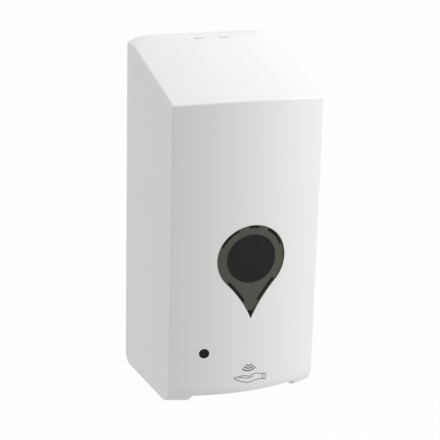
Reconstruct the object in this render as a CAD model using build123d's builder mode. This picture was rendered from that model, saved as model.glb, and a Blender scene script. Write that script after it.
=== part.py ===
from build123d import *
import math
import os

# Automatic soap dispenser for a wall.
# X runs to the viewer's right, the wall is the plane Y = 0, the front faces -Y and Z is up.
# The origin is the bottom centre of the back plate, on the wall.

os.makedirs("parts", exist_ok=True)

# Overall size
body_width = 125
side_depth = 98.4
front_bulge = 13.1
body_height = 275
cover_wall = 2.5
overrun = 10

# Cover shape
shoulder_radius = 42
shoulder_drop = 5.5
bend_depth = 22
bend_radius = 26
slope_run = 89.5
slope_fall = 33.5
crown_drop = 8.2
curl_radius = 14.5
heel_radius = 10
edge_radius = 1.8
lip_depth = 29
foot_width = 15.5
notch_height = 8
notch_slant = 2.5

# Window
window_height = 117.9
window_half_width = 28.3
window_rise = 27
window_tip = 48.2
window_spread = 44
lens_thickness = 1.6
frame_margin = 2.5
frame_depth = 1.6
sight_half_width = 20.4
sight_half_height = 19.4
rim_slot_inset = 1.6
rim_slot_width = 2.2
flank_slot_width = 2.4
# Start and sweep of each slot along the rim, in degrees
rim_slot_angles = ((21, 39), (78, 18), (115, 40))
# Points along a slot beside the tip, and corners of the one at the tip, across and down the drop
flank_slot_shares = ((0.671, 0.367), (0.432, 0.525), (0.207, 0.705))
tip_slot_shares = ((0.099, 0.865), (0, 0.987))

# Indicator
indicator_margin = 25.8
indicator_z = 43.7
indicator_radius = 3.9
indicator_flange = 5.2
flange_thickness = 0.8

# Key slots and latch
key_spacing = 21
key_slot_length = 9
key_slot_width = 1.6
key_depth = 23
catch_half = 6
catch_depth = 14
catch_thickness = 2
catch_gap = 0.8

# Hinge
hinge_depth = 10
hinge_height = 10
pin_radius = 2.5
pin_chamfer = 0.4
pin_gap = 0.6
pin_seat = 1
boss_radius = 6
boss_thickness = 1.5
lug_radius = 6.5
lug_thickness = 3.5
lug_gap = 1

# Gaps
fit_gap = 0.3
running_gap = 0.05
seat_gap = 0.1

# Back plate
plate_margin = 2
plate_thickness = 3
plate_top_gap = 11
plate_corner = 18
rim_thickness = 2
rim_depth = 7
guide_depth = 24
guide_gap = 1
guide_lift = 6
guide_drop = 32
wall_hole_radius = 2.5
wall_hole_seat = 5
wall_seat_depth = 1.2
wall_hole_x = 38
wall_hole_low = 130
wall_hole_drop = 19

# Drive housing
housing_low = 9
housing_setback = 12.4
housing_wall = 2
housing_corner = 3
panel_thickness = 2.5
floor_hole_gap = 1
drop_setback = 41.4
boss_screw_radius = 1.5
corner_boss_radius = 3.2
corner_boss_length = 12
corner_boss_inset = 4

# Gear plate, pump and gears
gear_plate_thickness = 2
pump_floor_gap = 7
pump_teeth = 10
pump_pitch_radius = 7.5
pump_pressure_angle = 26
pump_front_reach = 5
pump_back_reach = 7
pump_floor = 2
pump_post_length = 10
pump_left = 27
pump_right = 17.5
pump_half_height = 24
pump_corner = 4
tip_gap = 0.3
side_gap = 0.1
post_radius = 3.2
post_inset = 3.8
inner_post_rise = 8
port_radius = 3
gasket_thickness = 0.6
cover_plate_thickness = 3
shaft_radius = 2
bearing_depth = 1.5
bearing_floor = 0.5
drive_pitch_radius = 18
drive_teeth = 36
pinion_teeth = 12
drive_pressure_angle = 20
drive_gap = 1.5
drive_thickness = 5
drive_web = 2.5
drive_hub_radius = 5
drive_rim_share = 0.82
web_holes = 6
addendum_share = 0.9
dedendum_share = 1.3
backlash = 0.24
motor_radius = 12.2
motor_rear_gap = 3
motor_flat = 10
motor_boss_radius = 3.5
motor_boss_length = 1.5
motor_shaft_radius = 1
shaft_end_gap = 0.5
cap_radius = 5
cap_length = 1.5

# Inlet, outlet and nozzle
duct_radius = 9.5
duct_neck_radius = 5.5
duct_bore = 3
duct_cup_depth = 11
duct_flange = 2
seal_bore_radius = 7.2
spigot_radius = 5
spigot_length = 10
spigot_bore = 3.2
seal_thickness = 2.4
seal_lift = 4
outlet_flange_radius = 9
outlet_flange = 1.6
valve_radius = 6
valve_thickness = 0.9
valve_taper = 10
nozzle_flange_radius = 7
nozzle_flange = 2
nozzle_radius = 4.2
nozzle_tip_radius = 2.6
nozzle_bore = 1.6
nozzle_low = 3

# Battery bay
bay_slack = 1.6
bay_wall = 1.4
bay_depth = 34
bay_low = 16
bay_headroom = 17
cell_radius = 7.1
cell_length = 49.2
cell_nub_radius = 2.75
cell_nub = 1.3
cell_gap = 0.5
contact_room = 8.5
contact_thickness = 0.5
contact_width = 9
contact_spring = 2.6
contact_sides = 8
contact_taper = 8
door_left_inset = 0.9
door_right_inset = 3
door_low_inset = 3
door_high_lap = 1
door_thickness = 1.8
door_overlap = 2
door_grip_depth = 0.8
door_grip_width = 14
door_grip_height = 1.6
door_grip_spacing = 3.2
rail_width = 2
rail_lip = 1.4

# Electronics
board_thickness = 1.6
board_side_gap = 3
board_width = 24
board_floor_gap = 11
board_height = 60
board_back_gap = 0.6
board_post_radius = 2.5
board_post_inset = 3
led_radius = 2.5
led_length = 5
guide_radius = 2.5
guide_collar = 4
guide_tip_gap = 2.2
chip_size = 9
chip_thickness = 1.4
sensor_x = 7.5
sensor_offset = 18
sensor_board_half = 17.5
sensor_board_depth = 15
sensor_board_low = 14.5
sensor_radius = 2.4
sensor_length = 3
sensor_window_half = 12
sensor_window_depth = 10
sensor_window_lip = 1.2
sensor_post_x = 15
sensor_post_radius = 1.8
switch_shift = 0.7
switch_drop = 10
switch_width = 11
switch_height = 6
switch_depth = 5
switch_travel = 3
knob_width = 3.4
knob_height = 3
knob_stick = 2.5
knob_root = 2
jack_margin = 15
jack_depth = 24
jack_width = 11
jack_length = 12
jack_height = 12
jack_bore = 2.9
jack_pin = 1
jack_bore_length = 9

# Tank and cap
tank_back = 12
tank_setback = 10.4
tank_top_gap = 43
tank_wall = 2
tank_corner = 7
tank_slope_run = 26
neck_depth = 38
neck_radius = 20
neck_wall = 2
neck_height = 10
cap_outer = 24
cap_wall = 1.8
cap_height = 11.5
cap_ribs = 24
cap_rib_radius = 0.7
cap_vent = 1
gasket_ring = 1.2

# Latch
stem_half = 8
stem_back = 3.5
stem_front = 9
stem_length = 18
head_thickness = 3
head_half = 14
head_front = 28
key_post_half = 2.5
key_post_depth = 6
key_post_height = 7
key_post_gap = 7
nose_half = 5
nose_depth = 16.8
nose_length = 3
nose_height = 2.2
slot_rail_width = 2.2
slot_rail_lip = 1.6
slot_rail_lift = 7
slot_rail_gap = 4.5
slot_rail_front = 11
spring_height = 11
spring_shelf = 2
spring_shelf_half = 6
spring_radius = 2.6
spring_wire = 0.35
spring_sides = 6
spring_turns = 4
spring_peg = 1.6
spring_peg_height = 2

# Screws
screw_head_radius = 2.9
screw_head_height = 1.8
screw_length = 8
recess_width = 0.8
recess_depth = 1
small_head_radius = 2.2
small_head_height = 1.4
small_radius = 1.1
small_length = 5

half_width = body_width / 2
body_depth = side_depth + front_bulge
front_radius = (half_width**2 + front_bulge**2) / (2 * front_bulge)
front_center = front_radius - body_depth
slope_angle = math.degrees(math.atan2(slope_fall, slope_run))
shoulder_run = math.sqrt(shoulder_radius**2 - (shoulder_radius - shoulder_drop) ** 2)
flat_half = half_width - shoulder_run
crown_radius = (half_width**2 + crown_drop**2) / (2 * crown_drop)
inner_half = half_width - cover_wall
plate_half = inner_half - plate_margin
plate_height = body_height - plate_top_gap
lug_outer = inner_half - boss_thickness - lug_gap
housing_half = lug_outer - lug_thickness - lug_gap
housing_front = side_depth - housing_setback
indicator_x = indicator_margin - half_width
drop_depth = side_depth - drop_setback
sensor_depth = drop_depth + sensor_offset

cell_pitch = 2 * cell_radius + cell_gap
bay_right = housing_half - housing_wall
bay_left = bay_right - bay_slack - 2 * cell_pitch - bay_wall
bay_high = bay_low + cell_length + cell_nub + contact_room
housing_high = bay_high + bay_headroom

pump_height = housing_low + pump_floor_gap + pump_half_height
pump_back = drop_depth - pump_back_reach
pump_front = drop_depth + pump_front_reach
pump_x = pump_pitch_radius
gear_plate_front = pump_back - pump_post_length
gear_plate_back = gear_plate_front - gear_plate_thickness
drive_back = gear_plate_front + drive_gap

tank_half = plate_half - rim_thickness - guide_gap
tank_front = side_depth - tank_setback
tank_shelf = tank_front - tank_slope_run
tank_top = body_height - tank_top_gap

key_post_top = body_height - key_post_gap
head_top = key_post_top - key_post_height
head_low = head_top - head_thickness
nose_top = head_top + nose_height
catch_bottom = nose_top + catch_gap
stem_low = head_low - stem_length
spring_low = stem_low - spring_height
slot_rail_low = spring_low + slot_rail_lift
slot_rail_high = head_low - slot_rail_gap


def front_y(x, inset=0):
    """Y of the bulged front at x, for a face set back by inset."""
    return front_center - math.sqrt((front_radius - inset) ** 2 - x**2)


def cover_block(inset):
    """Cover's outside where inset is zero, or its cavity, set in on every face but the back."""
    half = half_width - inset
    back = overrun if inset else 0
    top = body_height - inset
    side_top = top - shoulder_radius + inset
    side_top += math.sqrt((shoulder_radius - inset) ** 2 - (half - flat_half) ** 2)
    crown_half = half_width + overrun
    crown_top = body_height - inset / math.cos(math.radians(slope_angle))
    crown_top += (bend_depth + back) * slope_fall / slope_run
    crown_side = crown_top - crown_radius + math.sqrt(crown_radius**2 - crown_half**2)
    with BuildPart() as block:
        with BuildSketch(Plane.XY.offset(inset)):
            with BuildLine():
                front = ThreePointArc(
                    (-half, front_y(half, inset)),
                    (0, front_y(0, inset)),
                    (half, front_y(half, inset)),
                )
                Polyline(front @ 1, (half, back), (-half, back), front @ 0)
            make_face()
        extrude(amount=body_height)
        # Front view: flat top and rounded shoulders
        with BuildSketch(Plane.XZ.offset(-back)):
            with BuildLine():
                right = RadiusArc((half, side_top), (flat_half, top), -(shoulder_radius - inset))
                left = RadiusArc((-flat_half, top), (-half, side_top), -(shoulder_radius - inset))
                Line(right @ 1, left @ 0)
                Polyline(left @ 1, (-half, -overrun), (half, -overrun), right @ 0)
            make_face()
        extrude(amount=body_depth + overrun + back, mode=Mode.INTERSECT)
        # Crowned slope that falls from the bend to the front crease
        with BuildSketch(Plane.XZ.offset(-back)):
            with BuildLine():
                crown = ThreePointArc((-crown_half, crown_side), (0, crown_top), (crown_half, crown_side))
                Polyline(crown @ 1, (crown_half, -body_height), (-crown_half, -body_height), crown @ 0)
            make_face()
        extrude(amount=2 * body_depth, dir=(0, -slope_run, -slope_fall), mode=Mode.INTERSECT)
        # The bend between flat top and slope is soft, and the front curls under at the bottom
        bend = block.edges().filter_by_position(Axis.Y, -bend_depth - fit_gap, -heel_radius / 2)
        bend = bend.filter_by_position(Axis.Z, body_height - shoulder_drop, body_height)
        bend = bend.filter_by_position(Axis.X, edge_radius - half, half - edge_radius)
        fillet(bend.filter_by(GeomType.LINE, reverse=True), bend_radius - inset)
        curl = block.edges().group_by(Axis.Z)[0].sort_by(Axis.Y)[0]
        fillet(curl, curl_radius - inset)
    return block.part


def front_slab(outer_inset, inner_inset, half, low, high):
    """Slab that follows the bulged front between two depths below its surface."""
    with BuildPart() as slab:
        with BuildSketch(Plane.XY.offset(low)):
            with BuildLine():
                face = ThreePointArc(
                    (-half, front_y(half, outer_inset)),
                    (0, front_y(0, outer_inset)),
                    (half, front_y(half, outer_inset)),
                )
                back = ThreePointArc(
                    (half, front_y(half, inner_inset)),
                    (0, front_y(0, inner_inset)),
                    (-half, front_y(half, inner_inset)),
                )
                Line(face @ 1, back @ 0)
                Line(back @ 1, face @ 0)
            make_face()
        extrude(amount=high - low)
    return slab.part


window_plane = Plane((0, 0, window_height), x_dir=(1, 0, 0), z_dir=(0, -1, 0))


def drop_slab(grow, outer_inset, inner_inset):
    """Upside-down drop cut from the front, grown at its rim, between two depths."""
    tip = -window_tip - grow / math.sin(math.radians(window_spread / 2))
    reach = window_half_width + window_tip
    slab = front_slab(outer_inset, inner_inset, reach, window_height - reach, window_height + reach)
    with BuildPart() as drop:
        add(slab)
        with BuildSketch(window_plane):
            with BuildLine():
                head = EllipticalCenterArc(
                    (0, 0),
                    window_half_width + grow,
                    window_rise + grow,
                    start_angle=-window_spread,
                    arc_size=180 + 2 * window_spread,
                )
                TangentArc(head @ 0, (0, tip), tangent=-(head % 0))
                TangentArc(head @ 1, (0, tip), tangent=head % 1)
            make_face()
        extrude(amount=body_depth + overrun, mode=Mode.INTERSECT)
    return drop.part


def plane_at(x, y, z):
    """Plane that faces the viewer, with its origin at the given point."""
    return Plane((x, y, z), x_dir=(1, 0, 0), z_dir=(0, -1, 0))


def pan_screws(plane, places, head_radius, head_height, shank_radius, shank_length):
    """Pan-head screws on a plane, with their shanks behind it and a cross recess in each head."""
    with BuildPart() as group:
        with BuildSketch(plane):
            with Locations(*places):
                Circle(head_radius)
        extrude(amount=head_height)
        with BuildSketch(plane):
            with Locations(*places):
                Circle(shank_radius)
        extrude(amount=-shank_length)
        with BuildSketch(plane.offset(head_height)):
            with Locations(*places):
                Rectangle(head_radius, recess_width)
                Rectangle(recess_width, head_radius)
        extrude(amount=-recess_depth, mode=Mode.SUBTRACT)
    return group.part


# Front cover
with BuildPart() as front_cover:
    add(cover_block(0))
    heel = front_cover.edges().filter_by(Axis.X).group_by(Axis.Z)[0].sort_by(Axis.Y)[-1]
    fillet(heel, heel_radius)
    rims = []
    for edge in front_cover.edges():
        middle = edge.position_at(fit_gap)
        on_side = abs(abs(middle.X) - half_width) < seat_gap
        on_front = middle.Y < -hinge_depth - side_depth + curl_radius and middle.Z > edge_radius
        on_top = middle.Z > body_height / 2 and middle.Y < -seat_gap
        on_crease = abs(middle.X) < half_width and abs(middle.Y - front_y(middle.X)) < seat_gap
        if on_side and (on_front or on_top) or on_crease and middle.Z > body_height / 2:
            rims.append(edge)
    fillet(rims, edge_radius)
    add(cover_block(cover_wall), mode=Mode.SUBTRACT)
    # The underside is open from the wall to the curled lip
    with BuildSketch(Plane.XY.offset(-overrun)):
        with Locations((0, overrun)):
            Rectangle(
                2 * inner_half,
                body_depth - lip_depth + overrun,
                align=(Align.CENTER, Align.MAX),
            )
    extrude(amount=2 * overrun, mode=Mode.SUBTRACT)
    # Notch between the two feet
    with BuildSketch(Plane.XZ.offset(body_depth - lip_depth)):
        with BuildLine():
            foot_x = half_width - foot_width
            notch_x = foot_x - notch_slant
            Polyline(
                (-foot_x, 0),
                (-notch_x, notch_height),
                (notch_x, notch_height),
                (foot_x, 0),
                (foot_x, -overrun),
                (-foot_x, -overrun),
                close=True,
            )
        make_face()
    extrude(amount=lip_depth + overrun, mode=Mode.SUBTRACT)
    # Frame behind the window, recess for the lens, sight hole and slots in the ledge
    add(drop_slab(frame_margin, cover_wall, cover_wall + frame_depth))
    add(drop_slab(seat_gap, -overrun, lens_thickness), mode=Mode.SUBTRACT)
    with BuildSketch(window_plane):
        Ellipse(sight_half_width, sight_half_height)
        with BuildLine():
            for start, swept in rim_slot_angles:
                EllipticalCenterArc(
                    (0, 0),
                    window_half_width - rim_slot_inset,
                    window_rise - rim_slot_inset,
                    start_angle=start,
                    arc_size=swept,
                )
        trace(line_width=rim_slot_width)
        for side in (-1, 1):
            across = side * window_half_width
            with BuildLine():
                ThreePointArc(*[(share * across, -down * window_tip) for share, down in flank_slot_shares])
            trace(line_width=flank_slot_width)
        (corner_share, corner_down), (point_share, point_down) = tip_slot_shares
        Polygon(
            (-corner_share * window_half_width, -corner_down * window_tip),
            (corner_share * window_half_width, -corner_down * window_tip),
            (point_share, -point_down * window_tip),
            align=None,
        )
    extrude(amount=body_depth + overrun, mode=Mode.SUBTRACT)
    # Indicator hole
    with BuildSketch(plane_at(indicator_x, 0, indicator_z)):
        Circle(indicator_radius + running_gap)
    extrude(amount=body_depth + overrun, mode=Mode.SUBTRACT)
    # Key slots and the rib that the latch holds
    with BuildSketch(Plane.XY.offset(body_height - overrun)):
        with Locations((0, -key_depth)):
            with GridLocations(key_spacing, 0, 2, 1):
                SlotOverall(key_slot_length, key_slot_width)
    extrude(amount=2 * overrun, mode=Mode.SUBTRACT)
    with BuildSketch(Plane.XY.offset(catch_bottom)):
        with Locations((0, -catch_depth)):
            Rectangle(2 * catch_half, catch_thickness, align=(Align.CENTER, Align.MAX))
    extrude(amount=body_height - cover_wall - catch_bottom + seat_gap)
    # Bosses that hold the hinge pins
    for side in (-1, 1):
        with BuildSketch(Plane.YZ.offset(side * (inner_half - boss_thickness))):
            with Locations((-hinge_depth, hinge_height)):
                Circle(boss_radius)
        extrude(amount=side * boss_thickness)
        with BuildSketch(Plane.YZ.offset(side * (inner_half - boss_thickness))):
            with Locations((-hinge_depth, hinge_height)):
                Circle(pin_radius + running_gap / 2)
        extrude(amount=side * (boss_thickness + pin_seat), mode=Mode.SUBTRACT)
front_cover.part.label = "front_cover"
export_step(front_cover.part, "parts/front_cover.step")

# Window lens
with BuildPart() as window_lens:
    add(drop_slab(0, 0, lens_thickness))
window_lens.part.label = "window_lens"
export_step(window_lens.part, "parts/window_lens.step")

# Indicator lens: a plug flush with the front and a flange behind the wall
indicator_plane = plane_at(indicator_x, 0, indicator_z)
indicator_reach = abs(indicator_x) + indicator_flange
with BuildPart() as indicator_flange_part:
    add(
        front_slab(
            cover_wall,
            cover_wall + flange_thickness,
            indicator_reach,
            indicator_z - indicator_flange,
            indicator_z + indicator_flange,
        )
    )
    with BuildSketch(indicator_plane):
        Circle(indicator_flange)
    extrude(amount=body_depth + overrun, mode=Mode.INTERSECT)
with BuildPart() as indicator_lens:
    add(
        front_slab(
            0,
            cover_wall,
            indicator_reach,
            indicator_z - indicator_flange,
            indicator_z + indicator_flange,
        )
    )
    with BuildSketch(indicator_plane):
        Circle(indicator_radius)
    extrude(amount=body_depth + overrun, mode=Mode.INTERSECT)
    add(indicator_flange_part.part)
indicator_lens.part.label = "indicator_lens"
export_step(indicator_lens.part, "parts/indicator_lens.step")

# Hinge pins, pressed into the cover's bosses
pin_inner = housing_half + pin_gap
pin_length = inner_half + pin_seat - pin_inner
with BuildPart() as hinge_pins:
    for side in (-1, 1):
        with BuildSketch(Plane.YZ.offset(side * pin_inner)):
            with Locations((-hinge_depth, hinge_height)):
                Circle(pin_radius)
        extrude(amount=side * pin_length)
    chamfer(hinge_pins.edges().filter_by(GeomType.CIRCLE), pin_chamfer)
hinge_pins.part.label = "hinge_pins"
export_step(hinge_pins.part, "parts/hinge_pins.step")

# Back plate with its rim, tank guides, hinge lugs, wall holes and the latch's guide
wall_hole_high = plate_height - wall_hole_drop
wall_hole_center = (wall_hole_low + wall_hole_high) / 2
guide_low = housing_high + guide_lift
guide_high = tank_top - guide_drop
with BuildPart() as back_plate:
    with BuildSketch(Plane.XZ) as plate_outline:
        with Locations((0, plate_height / 2)):
            Rectangle(2 * plate_half, plate_height)
        fillet(plate_outline.vertices().group_by(Axis.Y)[-1], plate_corner)
    extrude(amount=plate_thickness)
    with BuildSketch(Plane.XZ):
        add(plate_outline.sketch)
        offset(amount=-rim_thickness, mode=Mode.SUBTRACT)
    extrude(amount=rim_depth)
    # The rim stands clear of the drive housing's feet and the hinge
    with BuildSketch(Plane.XZ.offset(plate_thickness)):
        Rectangle(2 * body_width, 2 * (hinge_height + boss_radius + lug_gap))
    extrude(amount=rim_depth, mode=Mode.SUBTRACT)
    for side in (-1, 1):
        rim_x = side * (plate_half - rim_thickness / 2)
        with BuildSketch(Plane.XZ.offset(plate_thickness)):
            with Locations((rim_x, (guide_low + guide_high) / 2)):
                Rectangle(rim_thickness, guide_high - guide_low)
        extrude(amount=guide_depth - plate_thickness)
        with BuildSketch(Plane.YZ.offset(side * (lug_outer - lug_thickness))):
            with Locations((-hinge_depth, hinge_height)):
                Circle(lug_radius)
            with Locations((-plate_thickness, hinge_height)):
                Rectangle(hinge_depth - plate_thickness, 2 * lug_radius, align=(Align.MAX, Align.CENTER))
        extrude(amount=side * lug_thickness)
        with BuildSketch(Plane.YZ.offset(side * (lug_outer - lug_thickness))):
            with Locations((-hinge_depth, hinge_height)):
                Circle(pin_radius + running_gap)
        extrude(amount=side * lug_thickness, mode=Mode.SUBTRACT)
        # Rails that guide the latch's stem, with lips over its edges
        rail_x = side * (stem_half + fit_gap)
        with BuildSketch(Plane.XY.offset(slot_rail_low)):
            with BuildLine():
                Polyline(
                    (rail_x, -plate_thickness),
                    (rail_x, -stem_front - fit_gap),
                    (rail_x - side * slot_rail_lip, -stem_front - fit_gap),
                    (rail_x - side * slot_rail_lip, -slot_rail_front),
                    (rail_x + side * slot_rail_width, -slot_rail_front),
                    (rail_x + side * slot_rail_width, -plate_thickness),
                    close=True,
                )
            make_face()
        extrude(amount=slot_rail_high - slot_rail_low)
    # Shelf and peg under the latch spring
    spring_y = -(stem_back + stem_front) / 2
    with BuildSketch(Plane.XY.offset(spring_low - spring_shelf)):
        with Locations((0, -plate_thickness)):
            Rectangle(
                2 * spring_shelf_half,
                slot_rail_front - plate_thickness,
                align=(Align.CENTER, Align.MAX),
            )
    extrude(amount=spring_shelf)
    with BuildSketch(Plane.XY.offset(spring_low)):
        with Locations((0, spring_y)):
            Circle(spring_peg)
    extrude(amount=spring_peg_height)
    # Wall-screw holes with seats for their heads
    with BuildSketch(Plane.XZ):
        with Locations((0, wall_hole_center)):
            with GridLocations(2 * wall_hole_x, wall_hole_high - wall_hole_low, 2, 2):
                Circle(wall_hole_radius)
    extrude(amount=plate_thickness, mode=Mode.SUBTRACT)
    with BuildSketch(Plane.XZ.offset(plate_thickness)):
        with Locations((0, wall_hole_center)):
            with GridLocations(2 * wall_hole_x, wall_hole_high - wall_hole_low, 2, 2):
                Circle(wall_hole_seat)
    extrude(amount=-wall_seat_depth, mode=Mode.SUBTRACT)
back_plate.part.label = "back_plate"
export_step(back_plate.part, "parts/back_plate.step")

# Drive housing: an open-fronted tray that holds pump, motor, cells and boards
housing_height = housing_high - housing_low
housing_mid = (housing_high + housing_low) / 2
corner_x = housing_half - corner_boss_inset
corner_low = housing_low + corner_boss_inset
corner_high = housing_high - corner_boss_inset
corner_places = [
    (-corner_x, corner_low),
    (-corner_x, corner_high),
    (corner_x, corner_low),
    (bay_left - corner_boss_radius, corner_high),
]
motor_x = -pump_x - drive_pitch_radius * (1 + pinion_teeth / drive_teeth)
motor_back = plate_thickness + housing_wall + motor_rear_gap
gear_plate_left = motor_x - motor_radius - post_inset
outer_post_rise = pump_half_height - post_radius
gear_posts = [
    (gear_plate_left + post_radius, pump_height - outer_post_rise),
    (gear_plate_left + post_radius, pump_height + outer_post_rise),
    (pump_right - post_radius, pump_height - inner_post_rise),
    (pump_right - post_radius, pump_height + inner_post_rise),
]
with BuildPart() as drive_housing:
    with BuildSketch(Plane.XZ.offset(plate_thickness)):
        with Locations((0, housing_mid)):
            RectangleRounded(2 * housing_half, housing_height, housing_corner)
    extrude(amount=housing_front - plate_thickness)
    with BuildSketch(Plane.XZ.offset(plate_thickness + housing_wall)):
        with Locations((0, housing_mid)):
            Rectangle(2 * (housing_half - housing_wall), housing_height - 2 * housing_wall)
    extrude(amount=housing_front, mode=Mode.SUBTRACT)
    # Battery bay's partition, back wall, floor and ceiling
    with BuildSketch(Plane.XZ.offset(bay_depth - bay_wall)):
        with Locations((bay_left, housing_low + housing_wall)):
            Rectangle(
                bay_right - bay_left,
                housing_height - 2 * housing_wall,
                align=(Align.MIN, Align.MIN),
            )
    extrude(amount=housing_front - bay_depth + bay_wall)
    with BuildSketch(Plane.XZ.offset(bay_depth)):
        with Locations((bay_left + bay_wall, bay_low)):
            Rectangle(bay_right - bay_left - bay_wall, bay_high - bay_low, align=(Align.MIN, Align.MIN))
    extrude(amount=housing_front, mode=Mode.SUBTRACT)
    under_bay = (housing_low + housing_wall, bay_low - bay_wall)
    over_bay = (bay_high + bay_wall, housing_high - housing_wall)
    for low, high in (under_bay, over_bay):
        with BuildSketch(Plane.XZ.offset(bay_depth)):
            with Locations((bay_left + bay_wall, low)):
                Rectangle(bay_right - bay_left - bay_wall, high - low, align=(Align.MIN, Align.MIN))
        extrude(amount=housing_front, mode=Mode.SUBTRACT)
    # Cradle under the motor
    for back in (motor_back + fit_gap, gear_plate_back - 2 * housing_wall - fit_gap):
        with BuildSketch(Plane.XZ.offset(back)):
            with Locations((motor_x, housing_low + housing_wall)):
                Rectangle(
                    2 * motor_radius,
                    pump_height - housing_low - housing_wall,
                    align=(Align.CENTER, Align.MIN),
                )
            with Locations((motor_x, pump_height)):
                Circle(motor_radius + running_gap, mode=Mode.SUBTRACT)
        extrude(amount=2 * housing_wall)
    # Posts for the gear plate and bosses for the front panel
    with BuildSketch(Plane.XZ.offset(plate_thickness + housing_wall)):
        with Locations(*gear_posts):
            Circle(post_radius)
    extrude(amount=gear_plate_back - plate_thickness - housing_wall)
    with BuildSketch(Plane.XZ.offset(gear_plate_back)):
        with Locations(*gear_posts):
            Circle(small_radius + running_gap)
    extrude(amount=-small_length, mode=Mode.SUBTRACT)
    with BuildSketch(Plane.XZ.offset(housing_front)):
        with Locations(*corner_places):
            Circle(corner_boss_radius)
    extrude(amount=-corner_boss_length)
    with BuildSketch(Plane.XZ.offset(housing_front)):
        with Locations(*corner_places):
            Circle(boss_screw_radius + running_gap)
    extrude(amount=-screw_length, mode=Mode.SUBTRACT)
    # Openings in the top and the floor: tank outlet, nozzle, sensor window and power socket
    jack_x = housing_half - jack_margin
    with BuildSketch(Plane.XY.offset(housing_high)):
        with Locations((0, -drop_depth)):
            Circle(seal_bore_radius)
    extrude(amount=-housing_wall, mode=Mode.SUBTRACT)
    with BuildSketch(Plane.XY.offset(housing_low)):
        with Locations((0, -drop_depth)):
            Circle(nozzle_radius + floor_hole_gap)
        with Locations((0, -sensor_depth)):
            Rectangle(2 * sensor_window_half, sensor_window_depth)
        with Locations((jack_x, -jack_depth)):
            Circle(jack_bore + floor_hole_gap)
    extrude(amount=housing_wall, mode=Mode.SUBTRACT)
    # Posts for the sensor board
    sensor_posts = [
        (side * sensor_post_x, -sensor_depth + row * sensor_board_depth / 3)
        for side in (-1, 1)
        for row in (-1, 1)
    ]
    with BuildSketch(Plane.XY.offset(housing_low + housing_wall)):
        with Locations(*sensor_posts):
            Circle(sensor_post_radius)
    extrude(amount=sensor_board_low - housing_low - housing_wall)
drive_housing.part.label = "drive_housing"
export_step(drive_housing.part, "parts/drive_housing.step")

# Front panel of the drive housing, with the battery opening and the door's rails
panel_front = housing_front + panel_thickness
door_back = panel_front + fit_gap
door_front = door_back + door_thickness
rail_front = door_front + fit_gap + rail_lip
door_left = bay_left + door_left_inset
door_right = housing_half - door_right_inset
door_low = bay_low + door_low_inset
door_high = bay_high + door_high_lap
board_left = board_side_gap - housing_half
board_low = housing_low + board_floor_gap
board_depth = pump_front + gasket_thickness + cover_plate_thickness + screw_head_height + board_back_gap
board_posts = [
    (board_left + board_post_inset, board_low + board_height - board_post_inset),
    (board_left + board_width - board_post_inset, board_low + board_post_inset),
]
switch_x = indicator_x + switch_shift
switch_z = board_low + board_height - switch_drop
with BuildPart() as drive_front_panel:
    with BuildSketch(Plane.XZ.offset(housing_front)):
        with Locations((0, housing_mid)):
            RectangleRounded(2 * housing_half, housing_height, housing_corner)
    extrude(amount=panel_thickness)
    opening_left = door_left + door_overlap
    opening_right = door_right - door_overlap
    with BuildSketch(Plane.XZ.offset(housing_front)):
        with Locations((opening_left, door_low + door_overlap)):
            Rectangle(
                opening_right - opening_left,
                door_high - door_low - 2 * door_overlap,
                align=(Align.MIN, Align.MIN),
            )
        with Locations(*corner_places):
            Circle(boss_screw_radius + running_gap)
        with Locations((indicator_x, indicator_z)):
            Circle(guide_radius + running_gap)
        with Locations((switch_x, switch_z)):
            Rectangle(knob_width + switch_travel + fit_gap + fit_gap, knob_height + fit_gap + fit_gap)
    extrude(amount=panel_thickness, mode=Mode.SUBTRACT)
    # Rails with lips over the door's long edges, and a ledge under it
    for side, edge in ((-1, door_left), (1, door_right)):
        with BuildSketch(Plane.XY.offset(door_low - fit_gap)):
            with BuildLine():
                Polyline(
                    (edge + side * fit_gap, -panel_front),
                    (edge + side * fit_gap, -door_front - fit_gap),
                    (edge - side * rail_lip, -door_front - fit_gap),
                    (edge - side * rail_lip, -rail_front),
                    (edge + side * rail_width, -rail_front),
                    (edge + side * rail_width, -panel_front),
                    close=True,
                )
            make_face()
        extrude(amount=door_high - door_low + fit_gap)
    with BuildSketch(Plane.XZ.offset(panel_front)):
        with Locations((door_left - rail_width, door_low - fit_gap)):
            Rectangle(
                door_right - door_left + 2 * rail_width,
                rail_width,
                align=(Align.MIN, Align.MAX),
            )
    extrude(amount=rail_front - panel_front)
    # Posts behind the panel that carry the control board
    with BuildSketch(Plane.XZ.offset(housing_front)):
        with Locations(*board_posts):
            Circle(board_post_radius)
    extrude(amount=-(housing_front - board_depth - board_thickness))
    with BuildSketch(Plane.XZ.offset(board_depth + board_thickness)):
        with Locations(*board_posts):
            Circle(small_radius + running_gap)
    extrude(amount=small_length - board_thickness + fit_gap, mode=Mode.SUBTRACT)
drive_front_panel.part.label = "drive_front_panel"
export_step(drive_front_panel.part, "parts/drive_front_panel.step")

# Sliding battery door with its grip ridges
with BuildPart() as battery_door:
    with BuildSketch(Plane.XZ.offset(door_back)):
        with Locations((door_left, door_low)):
            Rectangle(door_right - door_left, door_high - door_low, align=(Align.MIN, Align.MIN))
    extrude(amount=door_thickness)
    chamfer(battery_door.edges().filter_by(Axis.Y), door_grip_depth)
    with BuildSketch(Plane.XZ.offset(door_front)):
        with Locations(((door_left + door_right) / 2, door_high - 4 * door_grip_spacing)):
            with GridLocations(0, door_grip_spacing, 1, 4):
                Rectangle(door_grip_width, door_grip_height)
    extrude(amount=door_grip_depth)
battery_door.part.label = "battery_door"
export_step(battery_door.part, "parts/battery_door.step")

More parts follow.
